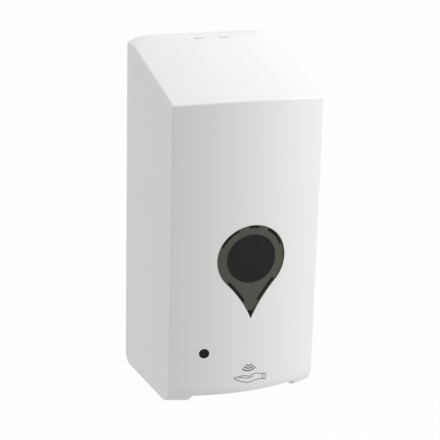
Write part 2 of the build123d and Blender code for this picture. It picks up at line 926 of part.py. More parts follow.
# Four cells, side by side in two rows, every second one the other way up
cell_low = (bay_low + bay_high - cell_length - cell_nub) / 2
cell_left = bay_left + bay_wall + cell_gap + cell_radius
cell_front = housing_front - cell_gap - cell_radius
with BuildPart() as batteries:
    for column in (0, 1):
        for row in (0, 1):
            turned = (column + row) % 2
            center = (cell_left + column * cell_pitch, -cell_front + row * cell_pitch)
            can_low = cell_low + turned * cell_nub
            with BuildSketch(Plane.XY.offset(can_low)):
                with Locations(center):
                    Circle(cell_radius)
            extrude(amount=cell_length)
            nub_plane = Plane.XY.offset(cell_low if turned else cell_low + cell_length)
            with BuildSketch(nub_plane):
                with Locations(center):
                    Circle(cell_nub_radius)
            extrude(amount=cell_nub)
batteries.part.label = "batteries"
export_step(batteries.part, "parts/batteries.step")

# Contact strips under and over the cells, each with a sprung dome per cell
contact_y = -cell_front + cell_pitch / 2
cell_top = cell_low + cell_length + cell_nub
contact_low_gap = cell_low - contact_thickness - bay_low
with BuildPart() as battery_contacts:
    for column in (0, 1):
        for end in (-1, 1):
            seat = bay_low if end < 0 else bay_high
            stand = contact_low_gap if end < 0 else bay_high - cell_top - contact_thickness
            with BuildSketch(Plane.XY.offset(seat)):
                with Locations((cell_left + column * cell_pitch, contact_y)):
                    Rectangle(contact_width, cell_pitch + contact_width)
            extrude(amount=-end * contact_thickness)
            with BuildSketch(Plane.XY.offset(seat - end * contact_thickness)):
                with Locations((cell_left + column * cell_pitch, contact_y)):
                    with GridLocations(0, cell_pitch, 1, 2):
                        RegularPolygon(contact_spring, contact_sides)
            extrude(amount=-end * stand, taper=contact_taper)
battery_contacts.part.label = "battery_contacts"
export_step(battery_contacts.part, "parts/battery_contacts.step")

# Gear plate between motor and reduction
with BuildPart() as gear_plate:
    with BuildSketch(Plane.XZ.offset(gear_plate_back)):
        with Locations(((gear_plate_left + pump_right) / 2, pump_height)):
            RectangleRounded(pump_right - gear_plate_left, 2 * pump_half_height, pump_corner)
        with Locations(*gear_posts):
            Circle(small_radius + running_gap, mode=Mode.SUBTRACT)
        with Locations((motor_x, pump_height)):
            Circle(motor_boss_radius + running_gap, mode=Mode.SUBTRACT)
        with Locations((-pump_x, pump_height)):
            Circle(shaft_radius + running_gap, mode=Mode.SUBTRACT)
    extrude(amount=gear_plate_thickness)
gear_plate.part.label = "gear_plate"
export_step(gear_plate.part, "parts/gear_plate.step")

# Motor: a can with two flats, a front boss and a rear cap
motor_front = gear_plate_back
shaft_hole = (motor_front - motor_back) / 2
with BuildPart() as motor:
    with BuildSketch(plane_at(motor_x, -motor_back, pump_height)):
        Circle(motor_radius)
        Rectangle(2 * motor_radius, 2 * motor_flat, mode=Mode.INTERSECT)
    extrude(amount=motor_front - motor_back)
    with BuildSketch(plane_at(motor_x, -motor_front, pump_height)):
        Circle(motor_boss_radius)
    extrude(amount=motor_boss_length)
    with BuildSketch(plane_at(motor_x, -motor_back, pump_height)):
        Circle(cap_radius)
    extrude(amount=-cap_length)
    with BuildSketch(plane_at(motor_x, -motor_front - motor_boss_length, pump_height)):
        Circle(motor_shaft_radius + running_gap)
    extrude(amount=-shaft_hole, mode=Mode.SUBTRACT)
motor.part.label = "motor"
export_step(motor.part, "parts/motor.step")


def involute(base, roll):
    """Point of an involute of the base circle after it has rolled by an angle."""
    return Vector(
        base * (math.cos(roll) + roll * math.sin(roll)),
        base * (math.sin(roll) - roll * math.cos(roll)),
    )


def gear_face(pitch, teeth, pressure_angle, turn):
    """Spur-gear outline with arc flanks fitted to the involute, turned by an angle in degrees."""
    module = 2 * pitch / teeth
    base = pitch * math.cos(math.radians(pressure_angle))
    tip = pitch + addendum_share * module
    root = pitch - dedendum_share * module
    pressure = math.radians(pressure_angle)
    half_tooth = math.pi / (2 * teeth) - backlash / (2 * pitch)
    half_tooth += math.tan(pressure) - pressure
    end_roll = math.sqrt((tip / base) ** 2 - 1)
    start_roll = math.sqrt((root / base) ** 2 - 1) if root > base else 0
    with BuildSketch() as outline:
        Circle(root)
        with BuildLine():
            low = involute(base, start_roll).rotate(Axis.Z, -math.degrees(half_tooth))
            middle = involute(base, (start_roll + end_roll) / 2).rotate(Axis.Z, -math.degrees(half_tooth))
            high = involute(base, end_roll).rotate(Axis.Z, -math.degrees(half_tooth))
            flank = ThreePointArc(low, middle, high)
            foot = low * (root - module / 2) / low.length
            Line(foot, low)
            mirror(about=Plane.XZ)
            Line(high, (high.X, -high.Y))
            Line(foot, (foot.X, -foot.Y))
        tooth = make_face(mode=Mode.PRIVATE)
        with PolarLocations(0, teeth, start_angle=turn):
            add(tooth)
    return outline.sketch


# Reduction gear on the pump's shaft: rim, thin web and hub
drive_rim = drive_rim_share * drive_pitch_radius
with BuildPart() as drive_gear:
    with BuildSketch(plane_at(-pump_x, -drive_back, pump_height)):
        add(gear_face(drive_pitch_radius, drive_teeth, drive_pressure_angle, 0))
        Circle(shaft_radius, mode=Mode.SUBTRACT)
    extrude(amount=drive_thickness)
    with BuildSketch(plane_at(-pump_x, -drive_back - drive_web, pump_height)):
        Circle(drive_rim)
        Circle(drive_hub_radius, mode=Mode.SUBTRACT)
    extrude(amount=drive_thickness, mode=Mode.SUBTRACT)
    with BuildSketch(plane_at(-pump_x, -drive_back, pump_height)):
        with PolarLocations((drive_rim + drive_hub_radius) / 2, web_holes):
            Circle((drive_rim - drive_hub_radius) / 4)
    extrude(amount=drive_thickness, mode=Mode.SUBTRACT)
drive_gear.part.label = "drive_gear"
export_step(drive_gear.part, "parts/drive_gear.step")

# Pinion and shaft of the motor
pinion_pitch_radius = drive_pitch_radius * pinion_teeth / drive_teeth
with BuildPart() as motor_pinion:
    with BuildSketch(plane_at(motor_x, -drive_back, pump_height)):
        add(gear_face(pinion_pitch_radius, pinion_teeth, drive_pressure_angle, 180 / pinion_teeth))
        Circle(motor_shaft_radius, mode=Mode.SUBTRACT)
    extrude(amount=drive_thickness)
motor_pinion.part.label = "motor_pinion"
export_step(motor_pinion.part, "parts/motor_pinion.step")

motor_shaft_front = drive_back + drive_thickness + shaft_end_gap
motor_shaft_back = motor_front + motor_boss_length - shaft_hole + shaft_end_gap
with BuildPart() as motor_shaft:
    with BuildSketch(plane_at(motor_x, -motor_shaft_front, pump_height)):
        Circle(motor_shaft_radius)
    extrude(amount=motor_shaft_back - motor_shaft_front)
motor_shaft.part.label = "motor_shaft"
export_step(motor_shaft.part, "parts/motor_shaft.step")

# Gear pump: a body with two overlapping chambers, standing on four posts before the gear plate
pump_module = 2 * pump_pitch_radius / pump_teeth
chamber_radius = pump_pitch_radius + addendum_share * pump_module + tip_gap
pump_chamber_back = pump_back + pump_floor
pump_low = pump_height - pump_half_height
pump_high = pump_height + pump_half_height
pump_mid = (pump_right - pump_left) / 2
pump_posts = [
    (x, pump_height + z)
    for x in (-pump_left + post_inset, pump_right - post_inset)
    for z in (-pump_half_height + post_inset, pump_half_height - post_inset)
]
with BuildPart() as pump_body:
    with BuildSketch(Plane.XZ.offset(pump_back)):
        with Locations((pump_mid, pump_height)):
            RectangleRounded(pump_left + pump_right, 2 * pump_half_height, pump_corner)
    extrude(amount=pump_front - pump_back)
    with BuildSketch(Plane.XZ.offset(gear_plate_front)):
        with Locations(*pump_posts):
            Circle(post_radius)
    extrude(amount=pump_back - gear_plate_front)
    with BuildSketch(Plane.XZ.offset(pump_front)):
        with Locations((-pump_x, pump_height), (pump_x, pump_height)):
            Circle(chamber_radius)
    extrude(amount=pump_chamber_back - pump_front, mode=Mode.SUBTRACT)
    with BuildSketch(Plane.XZ.offset(pump_back)):
        with Locations((-pump_x, pump_height)):
            Circle(shaft_radius + running_gap)
    extrude(amount=pump_front - pump_back, mode=Mode.SUBTRACT)
    with BuildSketch(Plane.XZ.offset(pump_back + bearing_floor)):
        with Locations((pump_x, pump_height)):
            Circle(shaft_radius + running_gap)
    extrude(amount=pump_front - pump_back, mode=Mode.SUBTRACT)
    # Ports over and under the mesh, and blind screw holes in the posts' corners
    with BuildSketch(Plane.XY.offset(pump_low)):
        with Locations((0, -drop_depth)):
            Circle(port_radius)
    extrude(amount=2 * pump_half_height, mode=Mode.SUBTRACT)
    with BuildSketch(Plane.XZ.offset(pump_front)):
        with Locations(*pump_posts):
            Circle(boss_screw_radius + running_gap)
    extrude(amount=-screw_length, mode=Mode.SUBTRACT)
pump_body.part.label = "pump_body"
export_step(pump_body.part, "parts/pump_body.step")

# Gasket and cover plate close the chambers
with BuildPart() as pump_gasket:
    with BuildSketch(Plane.XZ.offset(pump_front)):
        with Locations((pump_mid, pump_height)):
            RectangleRounded(pump_left + pump_right, 2 * pump_half_height, pump_corner)
        with Locations((-pump_x, pump_height), (pump_x, pump_height)):
            Circle(chamber_radius, mode=Mode.SUBTRACT)
        with Locations(*pump_posts):
            Circle(boss_screw_radius + running_gap, mode=Mode.SUBTRACT)
    extrude(amount=gasket_thickness)
pump_gasket.part.label = "pump_gasket"
export_step(pump_gasket.part, "parts/pump_gasket.step")

plate_back = pump_front + gasket_thickness
with BuildPart() as pump_cover_plate:
    with BuildSketch(Plane.XZ.offset(plate_back)):
        with Locations((pump_mid, pump_height)):
            RectangleRounded(pump_left + pump_right, 2 * pump_half_height, pump_corner)
        with Locations(*pump_posts):
            Circle(boss_screw_radius + running_gap, mode=Mode.SUBTRACT)
    extrude(amount=cover_plate_thickness)
    with BuildSketch(Plane.XZ.offset(plate_back)):
        with Locations((-pump_x, pump_height), (pump_x, pump_height)):
            Circle(shaft_radius + running_gap)
    extrude(amount=bearing_depth, mode=Mode.SUBTRACT)
pump_cover_plate.part.label = "pump_cover_plate"
export_step(pump_cover_plate.part, "parts/pump_cover_plate.step")

# Pump gears, in mesh, and their shafts
gear_back = pump_chamber_back + side_gap
gear_length = plate_back - side_gap - gear_back
with BuildPart() as pump_drive_gear:
    with BuildSketch(plane_at(-pump_x, -gear_back, pump_height)):
        add(gear_face(pump_pitch_radius, pump_teeth, pump_pressure_angle, 0))
        Circle(shaft_radius, mode=Mode.SUBTRACT)
    extrude(amount=gear_length)
pump_drive_gear.part.label = "pump_drive_gear"
export_step(pump_drive_gear.part, "parts/pump_drive_gear.step")

with BuildPart() as pump_idler_gear:
    with BuildSketch(plane_at(pump_x, -gear_back, pump_height)):
        add(gear_face(pump_pitch_radius, pump_teeth, pump_pressure_angle, 180 + 180 / pump_teeth))
        Circle(shaft_radius, mode=Mode.SUBTRACT)
    extrude(amount=gear_length)
pump_idler_gear.part.label = "pump_idler_gear"
export_step(pump_idler_gear.part, "parts/pump_idler_gear.step")

shaft_front = plate_back + bearing_depth - side_gap
with BuildPart() as pump_shaft:
    with BuildSketch(plane_at(-pump_x, -gear_plate_back, pump_height)):
        Circle(shaft_radius)
    extrude(amount=shaft_front - gear_plate_back)
pump_shaft.part.label = "pump_shaft"
export_step(pump_shaft.part, "parts/pump_shaft.step")

idler_back = pump_back + bearing_floor + side_gap
with BuildPart() as idler_shaft:
    with BuildSketch(plane_at(pump_x, -idler_back, pump_height)):
        Circle(shaft_radius)
    extrude(amount=shaft_front - idler_back)
idler_shaft.part.label = "idler_shaft"
export_step(idler_shaft.part, "parts/idler_shaft.step")

# Inlet duct with the cup that takes the tank's spigot
tank_floor = housing_high + fit_gap
drop_plane = Plane((0, -drop_depth, 0), x_dir=(1, 0, 0), z_dir=(0, -1, 0))
duct_top = housing_high - housing_wall
cup_floor = duct_top - duct_cup_depth
seal_low = duct_top - seal_lift - seal_thickness
with BuildPart() as inlet_duct:
    with BuildSketch(drop_plane):
        with BuildLine():
            Polyline(
                (duct_bore, pump_high),
                (nozzle_flange_radius, pump_high),
                (nozzle_flange_radius, pump_high + duct_flange),
                (duct_neck_radius, pump_high + duct_flange),
                (duct_neck_radius, cup_floor - duct_flange),
                (duct_radius, cup_floor),
                (duct_radius, duct_top),
                (seal_bore_radius, duct_top),
                (seal_bore_radius, cup_floor + duct_flange),
                (duct_bore, cup_floor),
                close=True,
            )
        make_face()
    revolve(axis=Axis((0, -drop_depth, 0), (0, 0, 1)))
inlet_duct.part.label = "inlet_duct"
export_step(inlet_duct.part, "parts/inlet_duct.step")

# Ring seal between cup and spigot
with BuildPart() as inlet_seal:
    with BuildSketch(Plane.XY.offset(seal_low)):
        with Locations((0, -drop_depth)):
            Circle(seal_bore_radius)
            Circle(spigot_radius + running_gap, mode=Mode.SUBTRACT)
    extrude(amount=seal_thickness)
inlet_seal.part.label = "inlet_seal"
export_step(inlet_seal.part, "parts/inlet_seal.step")

# Nozzle under the pump
with BuildPart() as nozzle:
    with BuildSketch(drop_plane):
        with BuildLine():
            Polyline(
                (nozzle_bore, pump_low),
                (nozzle_flange_radius, pump_low),
                (nozzle_flange_radius, pump_low - nozzle_flange),
                (nozzle_radius, pump_low - nozzle_flange),
                (nozzle_radius, housing_low),
                (nozzle_tip_radius, nozzle_low),
                (nozzle_bore, nozzle_low),
                close=True,
            )
        make_face()
    revolve(axis=Axis((0, -drop_depth, 0), (0, 0, 1)))
nozzle.part.label = "nozzle"
export_step(nozzle.part, "parts/nozzle.step")

# Control board, its indicator lamp and the guide that carries the light to the cover
board_front = board_depth + board_thickness
board_mid_x = board_left + board_width / 2
board_mid_z = board_low + board_height / 2
with BuildPart() as control_board:
    with BuildSketch(Plane.XZ.offset(board_depth)):
        with Locations((board_mid_x, board_mid_z)):
            Rectangle(board_width, board_height)
        with Locations(*board_posts):
            Circle(small_radius + running_gap, mode=Mode.SUBTRACT)
    extrude(amount=board_thickness)
    with BuildSketch(Plane.XZ.offset(board_front)):
        with Locations((board_mid_x, board_low + 1.4 * chip_size)):
            Rectangle(chip_size, chip_size)
        with Locations((board_mid_x, indicator_z + chip_size)):
            Rectangle(chip_size, chip_size / 2)
    extrude(amount=chip_thickness)
control_board.part.label = "control_board"
export_step(control_board.part, "parts/control_board.step")

with BuildPart() as indicator_led:
    with BuildSketch(plane_at(indicator_x, -board_front, indicator_z)):
        Circle(led_radius)
    extrude(amount=led_length)
    fillet(indicator_led.edges().group_by(Axis.Y)[0], led_radius - seat_gap)
indicator_led.part.label = "indicator_led"
export_step(indicator_led.part, "parts/indicator_led.step")

guide_back = board_front + led_length + fit_gap
guide_front = -front_y(indicator_x, cover_wall + flange_thickness) - guide_tip_gap
with BuildPart() as light_guide:
    with BuildSketch(plane_at(indicator_x, -guide_back, indicator_z)):
        Circle(guide_radius)
    extrude(amount=guide_front - guide_back)
    chamfer(light_guide.edges().group_by(Axis.Y)[0], guide_radius / 5)
    with BuildSketch(plane_at(indicator_x, -housing_front, indicator_z)):
        Circle(guide_collar)
    extrude(amount=-chip_thickness)
light_guide.part.label = "light_guide"
export_step(light_guide.part, "parts/light_guide.step")

# Sensor board over the floor window, with its infrared emitter and receiver
sensor_board_center = (0, -sensor_depth)
with BuildPart() as sensor_board:
    with BuildSketch(Plane.XY.offset(sensor_board_low)):
        with Locations(sensor_board_center):
            Rectangle(2 * sensor_board_half, sensor_board_depth)
    extrude(amount=board_thickness)
sensor_board.part.label = "sensor_board"
export_step(sensor_board.part, "parts/sensor_board.step")

with BuildPart() as ir_emitter:
    with BuildSketch(Plane.XY.offset(sensor_board_low)):
        with Locations((-sensor_x, -sensor_depth)):
            Circle(sensor_radius)
    extrude(amount=-sensor_length)
    fillet(ir_emitter.edges().group_by(Axis.Z)[0], sensor_radius - seat_gap)
ir_emitter.part.label = "ir_emitter"
export_step(ir_emitter.part, "parts/ir_emitter.step")

with BuildPart() as ir_receiver:
    with BuildSketch(Plane.XY.offset(sensor_board_low)):
        with Locations((sensor_x, -sensor_depth)):
            Rectangle(2 * sensor_radius, 2 * sensor_radius)
    extrude(amount=-sensor_length)
    with BuildSketch(Plane.XY.offset(sensor_board_low - sensor_length)):
        with Locations((sensor_x, -sensor_depth)):
            Circle(sensor_radius / 2)
    extrude(amount=sensor_radius / 4, mode=Mode.SUBTRACT)
ir_receiver.part.label = "ir_receiver"
export_step(ir_receiver.part, "parts/ir_receiver.step")

with BuildPart() as sensor_window:
    with BuildSketch(Plane.XY.offset(housing_low)):
        with Locations(sensor_board_center):
            Rectangle(2 * sensor_window_half, sensor_window_depth)
    extrude(amount=housing_wall)
    with BuildSketch(Plane.XY.offset(housing_low + housing_wall)):
        with Locations(sensor_board_center):
            Rectangle(
                2 * (sensor_window_half + sensor_window_lip),
                sensor_window_depth + 2 * sensor_window_lip,
            )
            for place in sensor_posts:
                with Locations((place[0], place[1] + sensor_depth)):
                    Circle(sensor_post_radius + fit_gap, mode=Mode.SUBTRACT)
    extrude(amount=board_thickness / 4)
sensor_window.part.label = "sensor_window"
export_step(sensor_window.part, "parts/sensor_window.step")

# Power socket in the floor, facing down
with BuildPart() as power_socket:
    with BuildSketch(Plane.XY.offset(housing_low + housing_wall)):
        with Locations((jack_x, -jack_depth)):
            Rectangle(jack_width, jack_length)
    extrude(amount=jack_height)
    with BuildSketch(Plane.XY.offset(housing_low + housing_wall)):
        with Locations((jack_x, -jack_depth)):
            Circle(jack_bore)
            Circle(jack_pin, mode=Mode.SUBTRACT)
    extrude(amount=jack_bore_length, mode=Mode.SUBTRACT)
power_socket.part.label = "power_socket"
export_step(power_socket.part, "parts/power_socket.step")

# Slide switch behind the front panel and its knob
switch_back = housing_front - switch_depth
slot_half = (knob_width + switch_travel) / 2 + fit_gap
with BuildPart() as switch_body:
    with BuildSketch(Plane.XZ.offset(switch_back)):
        with Locations((switch_x, switch_z)):
            Rectangle(switch_width, switch_height)
    extrude(amount=switch_depth)
    with BuildSketch(Plane.XZ.offset(housing_front)):
        with Locations((switch_x, switch_z)):
            Rectangle(2 * slot_half, knob_height + 2 * fit_gap)
    extrude(amount=-knob_root - fit_gap, mode=Mode.SUBTRACT)
switch_body.part.label = "switch_body"
export_step(switch_body.part, "parts/switch_body.step")

with BuildPart() as switch_knob:
    with BuildSketch(Plane.XZ.offset(housing_front - knob_root)):
        with Locations((switch_x - switch_travel / 2, switch_z)):
            Rectangle(knob_width, knob_height)
    extrude(amount=knob_root + panel_thickness + knob_stick)
    fillet(switch_knob.edges().group_by(Axis.Y)[0], knob_height / 6)
switch_knob.part.label = "switch_knob"
export_step(switch_knob.part, "parts/switch_knob.step")


def tank_block(inset):
    """Tank's outside where inset is zero, or its inside, from a side profile drawn across its width."""
    slope = slope_fall / slope_run
    turn = inset * math.tan(math.radians(slope_angle) / 2)
    front_top = tank_top - (tank_front - tank_shelf) * slope
    with BuildPart() as block:
        with BuildSketch(Plane.YZ):
            with BuildLine():
                Polyline(
                    (-tank_back - inset, tank_floor + inset),
                    (-tank_back - inset, tank_top - inset),
                    (-tank_shelf + turn, tank_top - inset),
                    (-tank_front + inset, front_top - turn - inset + inset * slope),
                    (-tank_front + inset, tank_floor + inset),
                    close=True,
                )
            make_face()
        extrude(amount=tank_half - inset, both=True)
        fillet(block.edges().filter_by(Axis.Z), tank_corner - inset)
        if not inset:
            fillet(block.faces().sort_by(Axis.Z)[-1].edges(), tank_wall)
            fillet(block.faces().sort_by(Axis.Z)[0].edges(), tank_wall)
    return block.part


# Soap tank with its filler neck
with BuildPart() as tank:
    add(tank_block(0))
    with BuildSketch(Plane.XY.offset(tank_top - tank_wall)):
        with Locations((0, -neck_depth)):
            Circle(neck_radius)
    extrude(amount=neck_height + tank_wall)
    add(tank_block(tank_wall), mode=Mode.SUBTRACT)
    with BuildSketch(Plane.XY.offset(tank_top - 2 * tank_wall)):
        with Locations((0, -neck_depth)):
            Circle(neck_radius - neck_wall)
    extrude(amount=neck_height + 2 * tank_wall, mode=Mode.SUBTRACT)
    with BuildSketch(Plane.XY.offset(tank_floor)):
        with Locations((0, -drop_depth)):
            Circle(spigot_radius)
    extrude(amount=tank_wall, mode=Mode.SUBTRACT)
tank.part.label = "tank"
export_step(tank.part, "parts/tank.step")

# Outlet insert: a flange inside the tank's floor and a spigot through it
inside_floor = tank_floor + tank_wall
spigot_low = tank_floor - spigot_length
with BuildPart() as tank_outlet:
    with BuildSketch(drop_plane):
        with BuildLine():
            Polyline(
                (spigot_bore, inside_floor + outlet_flange),
                (outlet_flange_radius, inside_floor + outlet_flange),
                (outlet_flange_radius, inside_floor),
                (spigot_radius, inside_floor),
                (spigot_radius, spigot_low + nozzle_flange),
                (spigot_radius - nozzle_bore / 2, spigot_low),
                (spigot_bore, spigot_low),
                close=True,
            )
        make_face()
    revolve(axis=Axis((0, -drop_depth, 0), (0, 0, 1)))
tank_outlet.part.label = "tank_outlet"
export_step(tank_outlet.part, "parts/tank_outlet.step")

# Rubber umbrella valve that lets soap out and no air in
with BuildPart() as outlet_valve:
    with BuildSketch(Plane.XY.offset(inside_floor + outlet_flange)):
        with Locations((0, -drop_depth)):
            Circle(valve_radius)
    extrude(amount=valve_thickness, taper=valve_taper)
    with BuildSketch(Plane.XY.offset(inside_floor + outlet_flange)):
        with Locations((0, -drop_depth)):
            Rectangle(2 * spigot_bore - seat_gap, valve_thickness)
            Rectangle(valve_thickness, 2 * spigot_bore - seat_gap)
    extrude(amount=-spigot_length / 2)
outlet_valve.part.label = "outlet_valve"
export_step(outlet_valve.part, "parts/outlet_valve.step")

# Filler cap with grip ribs and a vent, over a gasket
neck_top = tank_top + neck_height
cap_low = neck_top - cap_height + cap_wall + gasket_ring + fit_gap
cap_roof = cap_low + cap_height - cap_wall
with BuildPart() as tank_cap:
    with BuildSketch(Plane.XY.offset(cap_low)):
        with Locations((0, -neck_depth)):
            Circle(cap_outer - cap_rib_radius)
    extrude(amount=cap_height)
    chamfer(tank_cap.faces().sort_by(Axis.Z)[-1].edges(), cap_rib_radius)
    with BuildSketch(Plane.XY.offset(cap_low)):
        with Locations((0, -neck_depth)):
            with PolarLocations(cap_outer - cap_rib_radius, cap_ribs):
                Rectangle(2 * cap_rib_radius, 2 * cap_rib_radius)
    extrude(amount=cap_height - 2 * cap_rib_radius)
    with BuildSketch(Plane.XY.offset(cap_low)):
        with Locations((0, -neck_depth)):
            Circle(neck_radius + fit_gap)
    extrude(amount=cap_height - cap_wall, mode=Mode.SUBTRACT)
    with BuildSketch(Plane.XY.offset(cap_roof)):
        with Locations((0, -neck_depth)):
            Circle(cap_vent)
    extrude(amount=cap_wall, mode=Mode.SUBTRACT)
tank_cap.part.label = "tank_cap"
export_step(tank_cap.part, "parts/tank_cap.step")

with BuildPart() as cap_gasket:
    with BuildSketch(Plane.XY.offset(cap_roof - gasket_ring)):
        with Locations((0, -neck_depth)):
            Circle(neck_radius - seat_gap)
            Circle(neck_radius - neck_wall - seat_gap, mode=Mode.SUBTRACT)
    extrude(amount=gasket_ring)
cap_gasket.part.label = "cap_gasket"
export_step(cap_gasket.part, "parts/cap_gasket.step")

# Latch: a stem in the rails, a head with a nose under the catch, and a post under each key slot
with BuildPart() as latch:
    with BuildSketch(Plane.XY.offset(stem_low)):
        with Locations((0, -stem_back)):
            Rectangle(2 * stem_half, stem_front - stem_back, align=(Align.CENTER, Align.MAX))
    extrude(amount=head_low - stem_low)
    with BuildSketch(Plane.XY.offset(head_low)):
        with Locations((0, -stem_back)):
            Rectangle(2 * head_half, head_front - stem_back, align=(Align.CENTER, Align.MAX))
    extrude(amount=head_thickness)
    with BuildSketch(Plane.XY.offset(head_top)):
        with Locations((0, -key_depth)):
            with GridLocations(key_spacing, 0, 2, 1):
                Rectangle(2 * key_post_half, key_post_depth)
    extrude(amount=key_post_height)
    with BuildSketch(Plane.XY.offset(head_top)):
        with Locations((0, -nose_depth)):
            Rectangle(2 * nose_half, nose_length, align=(Align.CENTER, Align.MAX))
    extrude(amount=nose_height)
    # Socket for the spring's upper end
    with BuildSketch(Plane.XY.offset(stem_low)):
        with Locations((0, spring_y)):
            Circle(spring_peg)
    extrude(amount=-spring_peg_height / 2)
latch.part.label = "latch"
export_step(latch.part, "parts/latch.step")


def helix_point(radius, pitch, turn):
    """Point of the spring's centre line after a number of turns, and its direction there."""
    angle = 2 * math.pi * turn
    point = Vector(radius * math.cos(angle), radius * math.sin(angle), pitch * turn)
    heading = Vector(-math.sin(angle), math.cos(angle), pitch / (2 * math.pi * radius))
    return point, heading.normalized()


def biarc(start, start_heading, end, end_heading):
    """Two arcs that join two points and share their tangents."""
    chord = end - start
    headings = start_heading + end_heading
    quad = 2 * (start_heading.dot(end_heading) - 1)
    half = chord.dot(headings)
    reach = (half - math.sqrt(half**2 - quad * chord.dot(chord))) / quad
    first = start + start_heading * reach
    last = end - end_heading * reach
    joint = (first + last) / 2
    arcs = []
    for begin, corner, finish in ((start, first, joint), (joint, last, end)):
        middle = (begin + finish) / 2
        rise = corner - middle
        run = (finish - begin).length / 2
        turn_angle = math.atan2(rise.length, run)
        arcs.append((begin, middle + rise.normalized() * run * math.tan(turn_angle / 2), finish))
    return arcs


# Coil spring under the latch, one unbroken wire
spring_high = stem_low
spring_pitch = (spring_high - spring_low - 2 * spring_wire - 2 * seat_gap) / spring_turns
spring_origin = Vector(0, spring_y, spring_low + spring_wire + seat_gap)
with BuildPart() as latch_spring:
    with BuildLine() as spring_path:
        for step in range(2 * spring_turns):
            begin, begin_heading = helix_point(spring_radius, spring_pitch, step / 2)
            finish, finish_heading = helix_point(spring_radius, spring_pitch, (step + 1) / 2)
            for points in biarc(begin, begin_heading, finish, finish_heading):
                ThreePointArc(*[spring_origin + point for point in points])
    with BuildSketch(Plane(spring_path.line @ 0, z_dir=spring_path.line % 0)):
        RegularPolygon(spring_wire, spring_sides)
    sweep()
latch_spring.part.label = "latch_spring"
export_step(latch_spring.part, "parts/latch_spring.step")
print("spring: least gap between turns", round(spring_pitch - 2 * spring_wire, 2), "mm")

# Screws, each group one node
with BuildPart() as panel_screws:
    add(
        pan_screws(
            Plane.XZ.offset(panel_front),
            corner_places,
            screw_head_radius,
            screw_head_height,
            boss_screw_radius,
            panel_thickness + screw_length - boss_screw_radius,
        )
    )
panel_screws.part.label = "panel_screws"
export_step(panel_screws.part, "parts/panel_screws.step")

with BuildPart() as pump_screws:
    add(
        pan_screws(
            Plane.XZ.offset(plate_back + cover_plate_thickness),
            pump_posts,
            screw_head_radius,
            screw_head_height,
            boss_screw_radius,
            cover_plate_thickness + gasket_thickness + screw_length - boss_screw_radius,
        )
    )
pump_screws.part.label = "pump_screws"
export_step(pump_screws.part, "parts/pump_screws.step")

with BuildPart() as gear_plate_screws:
    add(
        pan_screws(
            Plane.XZ.offset(gear_plate_front),
            gear_posts,
            small_head_radius,
            small_head_height,
            small_radius,
            gear_plate_thickness + small_length - small_radius,
        )
    )
gear_plate_screws.part.label = "gear_plate_screws"
export_step(gear_plate_screws.part, "parts/gear_plate_screws.step")

with BuildPart() as board_screws:
    add(
        pan_screws(
            Plane.XZ.offset(board_depth).rotated((180, 0, 0)),
            [(x, -z) for x, z in board_posts],
            small_head_radius,
            small_head_height,
            small_radius,
            small_length,
        )
    )
board_screws.part.label = "board_screws"
export_step(board_screws.part, "parts/board_screws.step")
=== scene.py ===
# %% [markdown]
# # Dressing a wall-mounted soap dispenser
#
# The dispenser arrives as a finished model of its parts: cover, window, tank, pump and so on.
# This lesson gives each part the surface of the real one, adds what is printed on the cover or
# too fine for the model, and photographs the result in a pale studio.
# Everything is in metres. The wall is the plane Y = 0, the front faces -Y and Z is up.

# %% Load the frame
import bpy
import bmesh
import math
from mathutils import Matrix, Vector


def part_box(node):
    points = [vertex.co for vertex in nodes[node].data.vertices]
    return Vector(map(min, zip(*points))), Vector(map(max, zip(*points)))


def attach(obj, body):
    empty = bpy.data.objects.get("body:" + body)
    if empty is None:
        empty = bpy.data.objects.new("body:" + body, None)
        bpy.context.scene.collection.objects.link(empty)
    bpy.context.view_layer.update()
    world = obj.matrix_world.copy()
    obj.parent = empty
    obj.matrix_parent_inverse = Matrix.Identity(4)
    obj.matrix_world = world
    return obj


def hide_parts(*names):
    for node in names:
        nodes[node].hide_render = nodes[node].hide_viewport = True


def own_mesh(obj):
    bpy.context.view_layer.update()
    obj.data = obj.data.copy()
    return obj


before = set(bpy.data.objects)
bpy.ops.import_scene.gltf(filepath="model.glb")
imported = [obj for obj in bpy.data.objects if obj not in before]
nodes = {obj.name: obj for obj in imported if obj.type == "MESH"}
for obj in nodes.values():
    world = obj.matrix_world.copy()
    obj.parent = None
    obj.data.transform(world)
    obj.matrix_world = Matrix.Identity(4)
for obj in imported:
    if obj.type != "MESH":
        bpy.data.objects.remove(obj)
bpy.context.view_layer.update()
MM = 0.001

# %% [markdown]
# ## Node materials with one helper
#
# A Blender material is a small graph. Writing it out by hand needs many lines, so one helper adds
# any kind of node, sets its values and joins its inputs. Colours are written as the sRGB hex
# values a colour picker shows, and one function turns them to the linear values that shaders use.

# %% Colours and nodes


def linear(hex_code):
    """Linear RGBA of an sRGB hex colour such as F2F2F0."""
    channels = [int(hex_code[i:i + 2], 16) / 255 for i in (0, 2, 4)]
    return [c / 12.92 if c <= 0.04045 else ((c + 0.055) / 1.055) ** 2.4 for c in channels] + [1.0]


def add_node(tree, kind, settings=None, inputs=None):
    """Adds a node; inputs maps a socket's name or number to a value or to another socket."""
    node = tree.nodes.new(kind)
    for name, value in (settings or {}).items():
        setattr(node, name, value)
    for name, value in (inputs or {}).items():
        if isinstance(value, bpy.types.NodeSocket):
            tree.links.new(value, node.inputs[name])
        else:
            node.inputs[name].default_value = value
    return node


print("middle grey in linear light:", round(linear("808080")[0], 3))

# %% [markdown]
# ## What all finishes share
#
# No real surface has one flat colour. In nearly all materials here a pattern moves the colour a
# little between two tones, and the same or a finer pattern gives relief and uneven gloss. So the
# materials are made by a few lines that name the pattern, and one function that lays it on.
# Patterns read Object coordinates, which are the part's own metres, so their size is a real one.

# %% Materials and their finish
# Sockets of the Mix node for colours go by number, because their names occur more than once
MIX_SHARE, MIX_FIRST, MIX_SECOND, MIX_RESULT = 0, 6, 7, 2


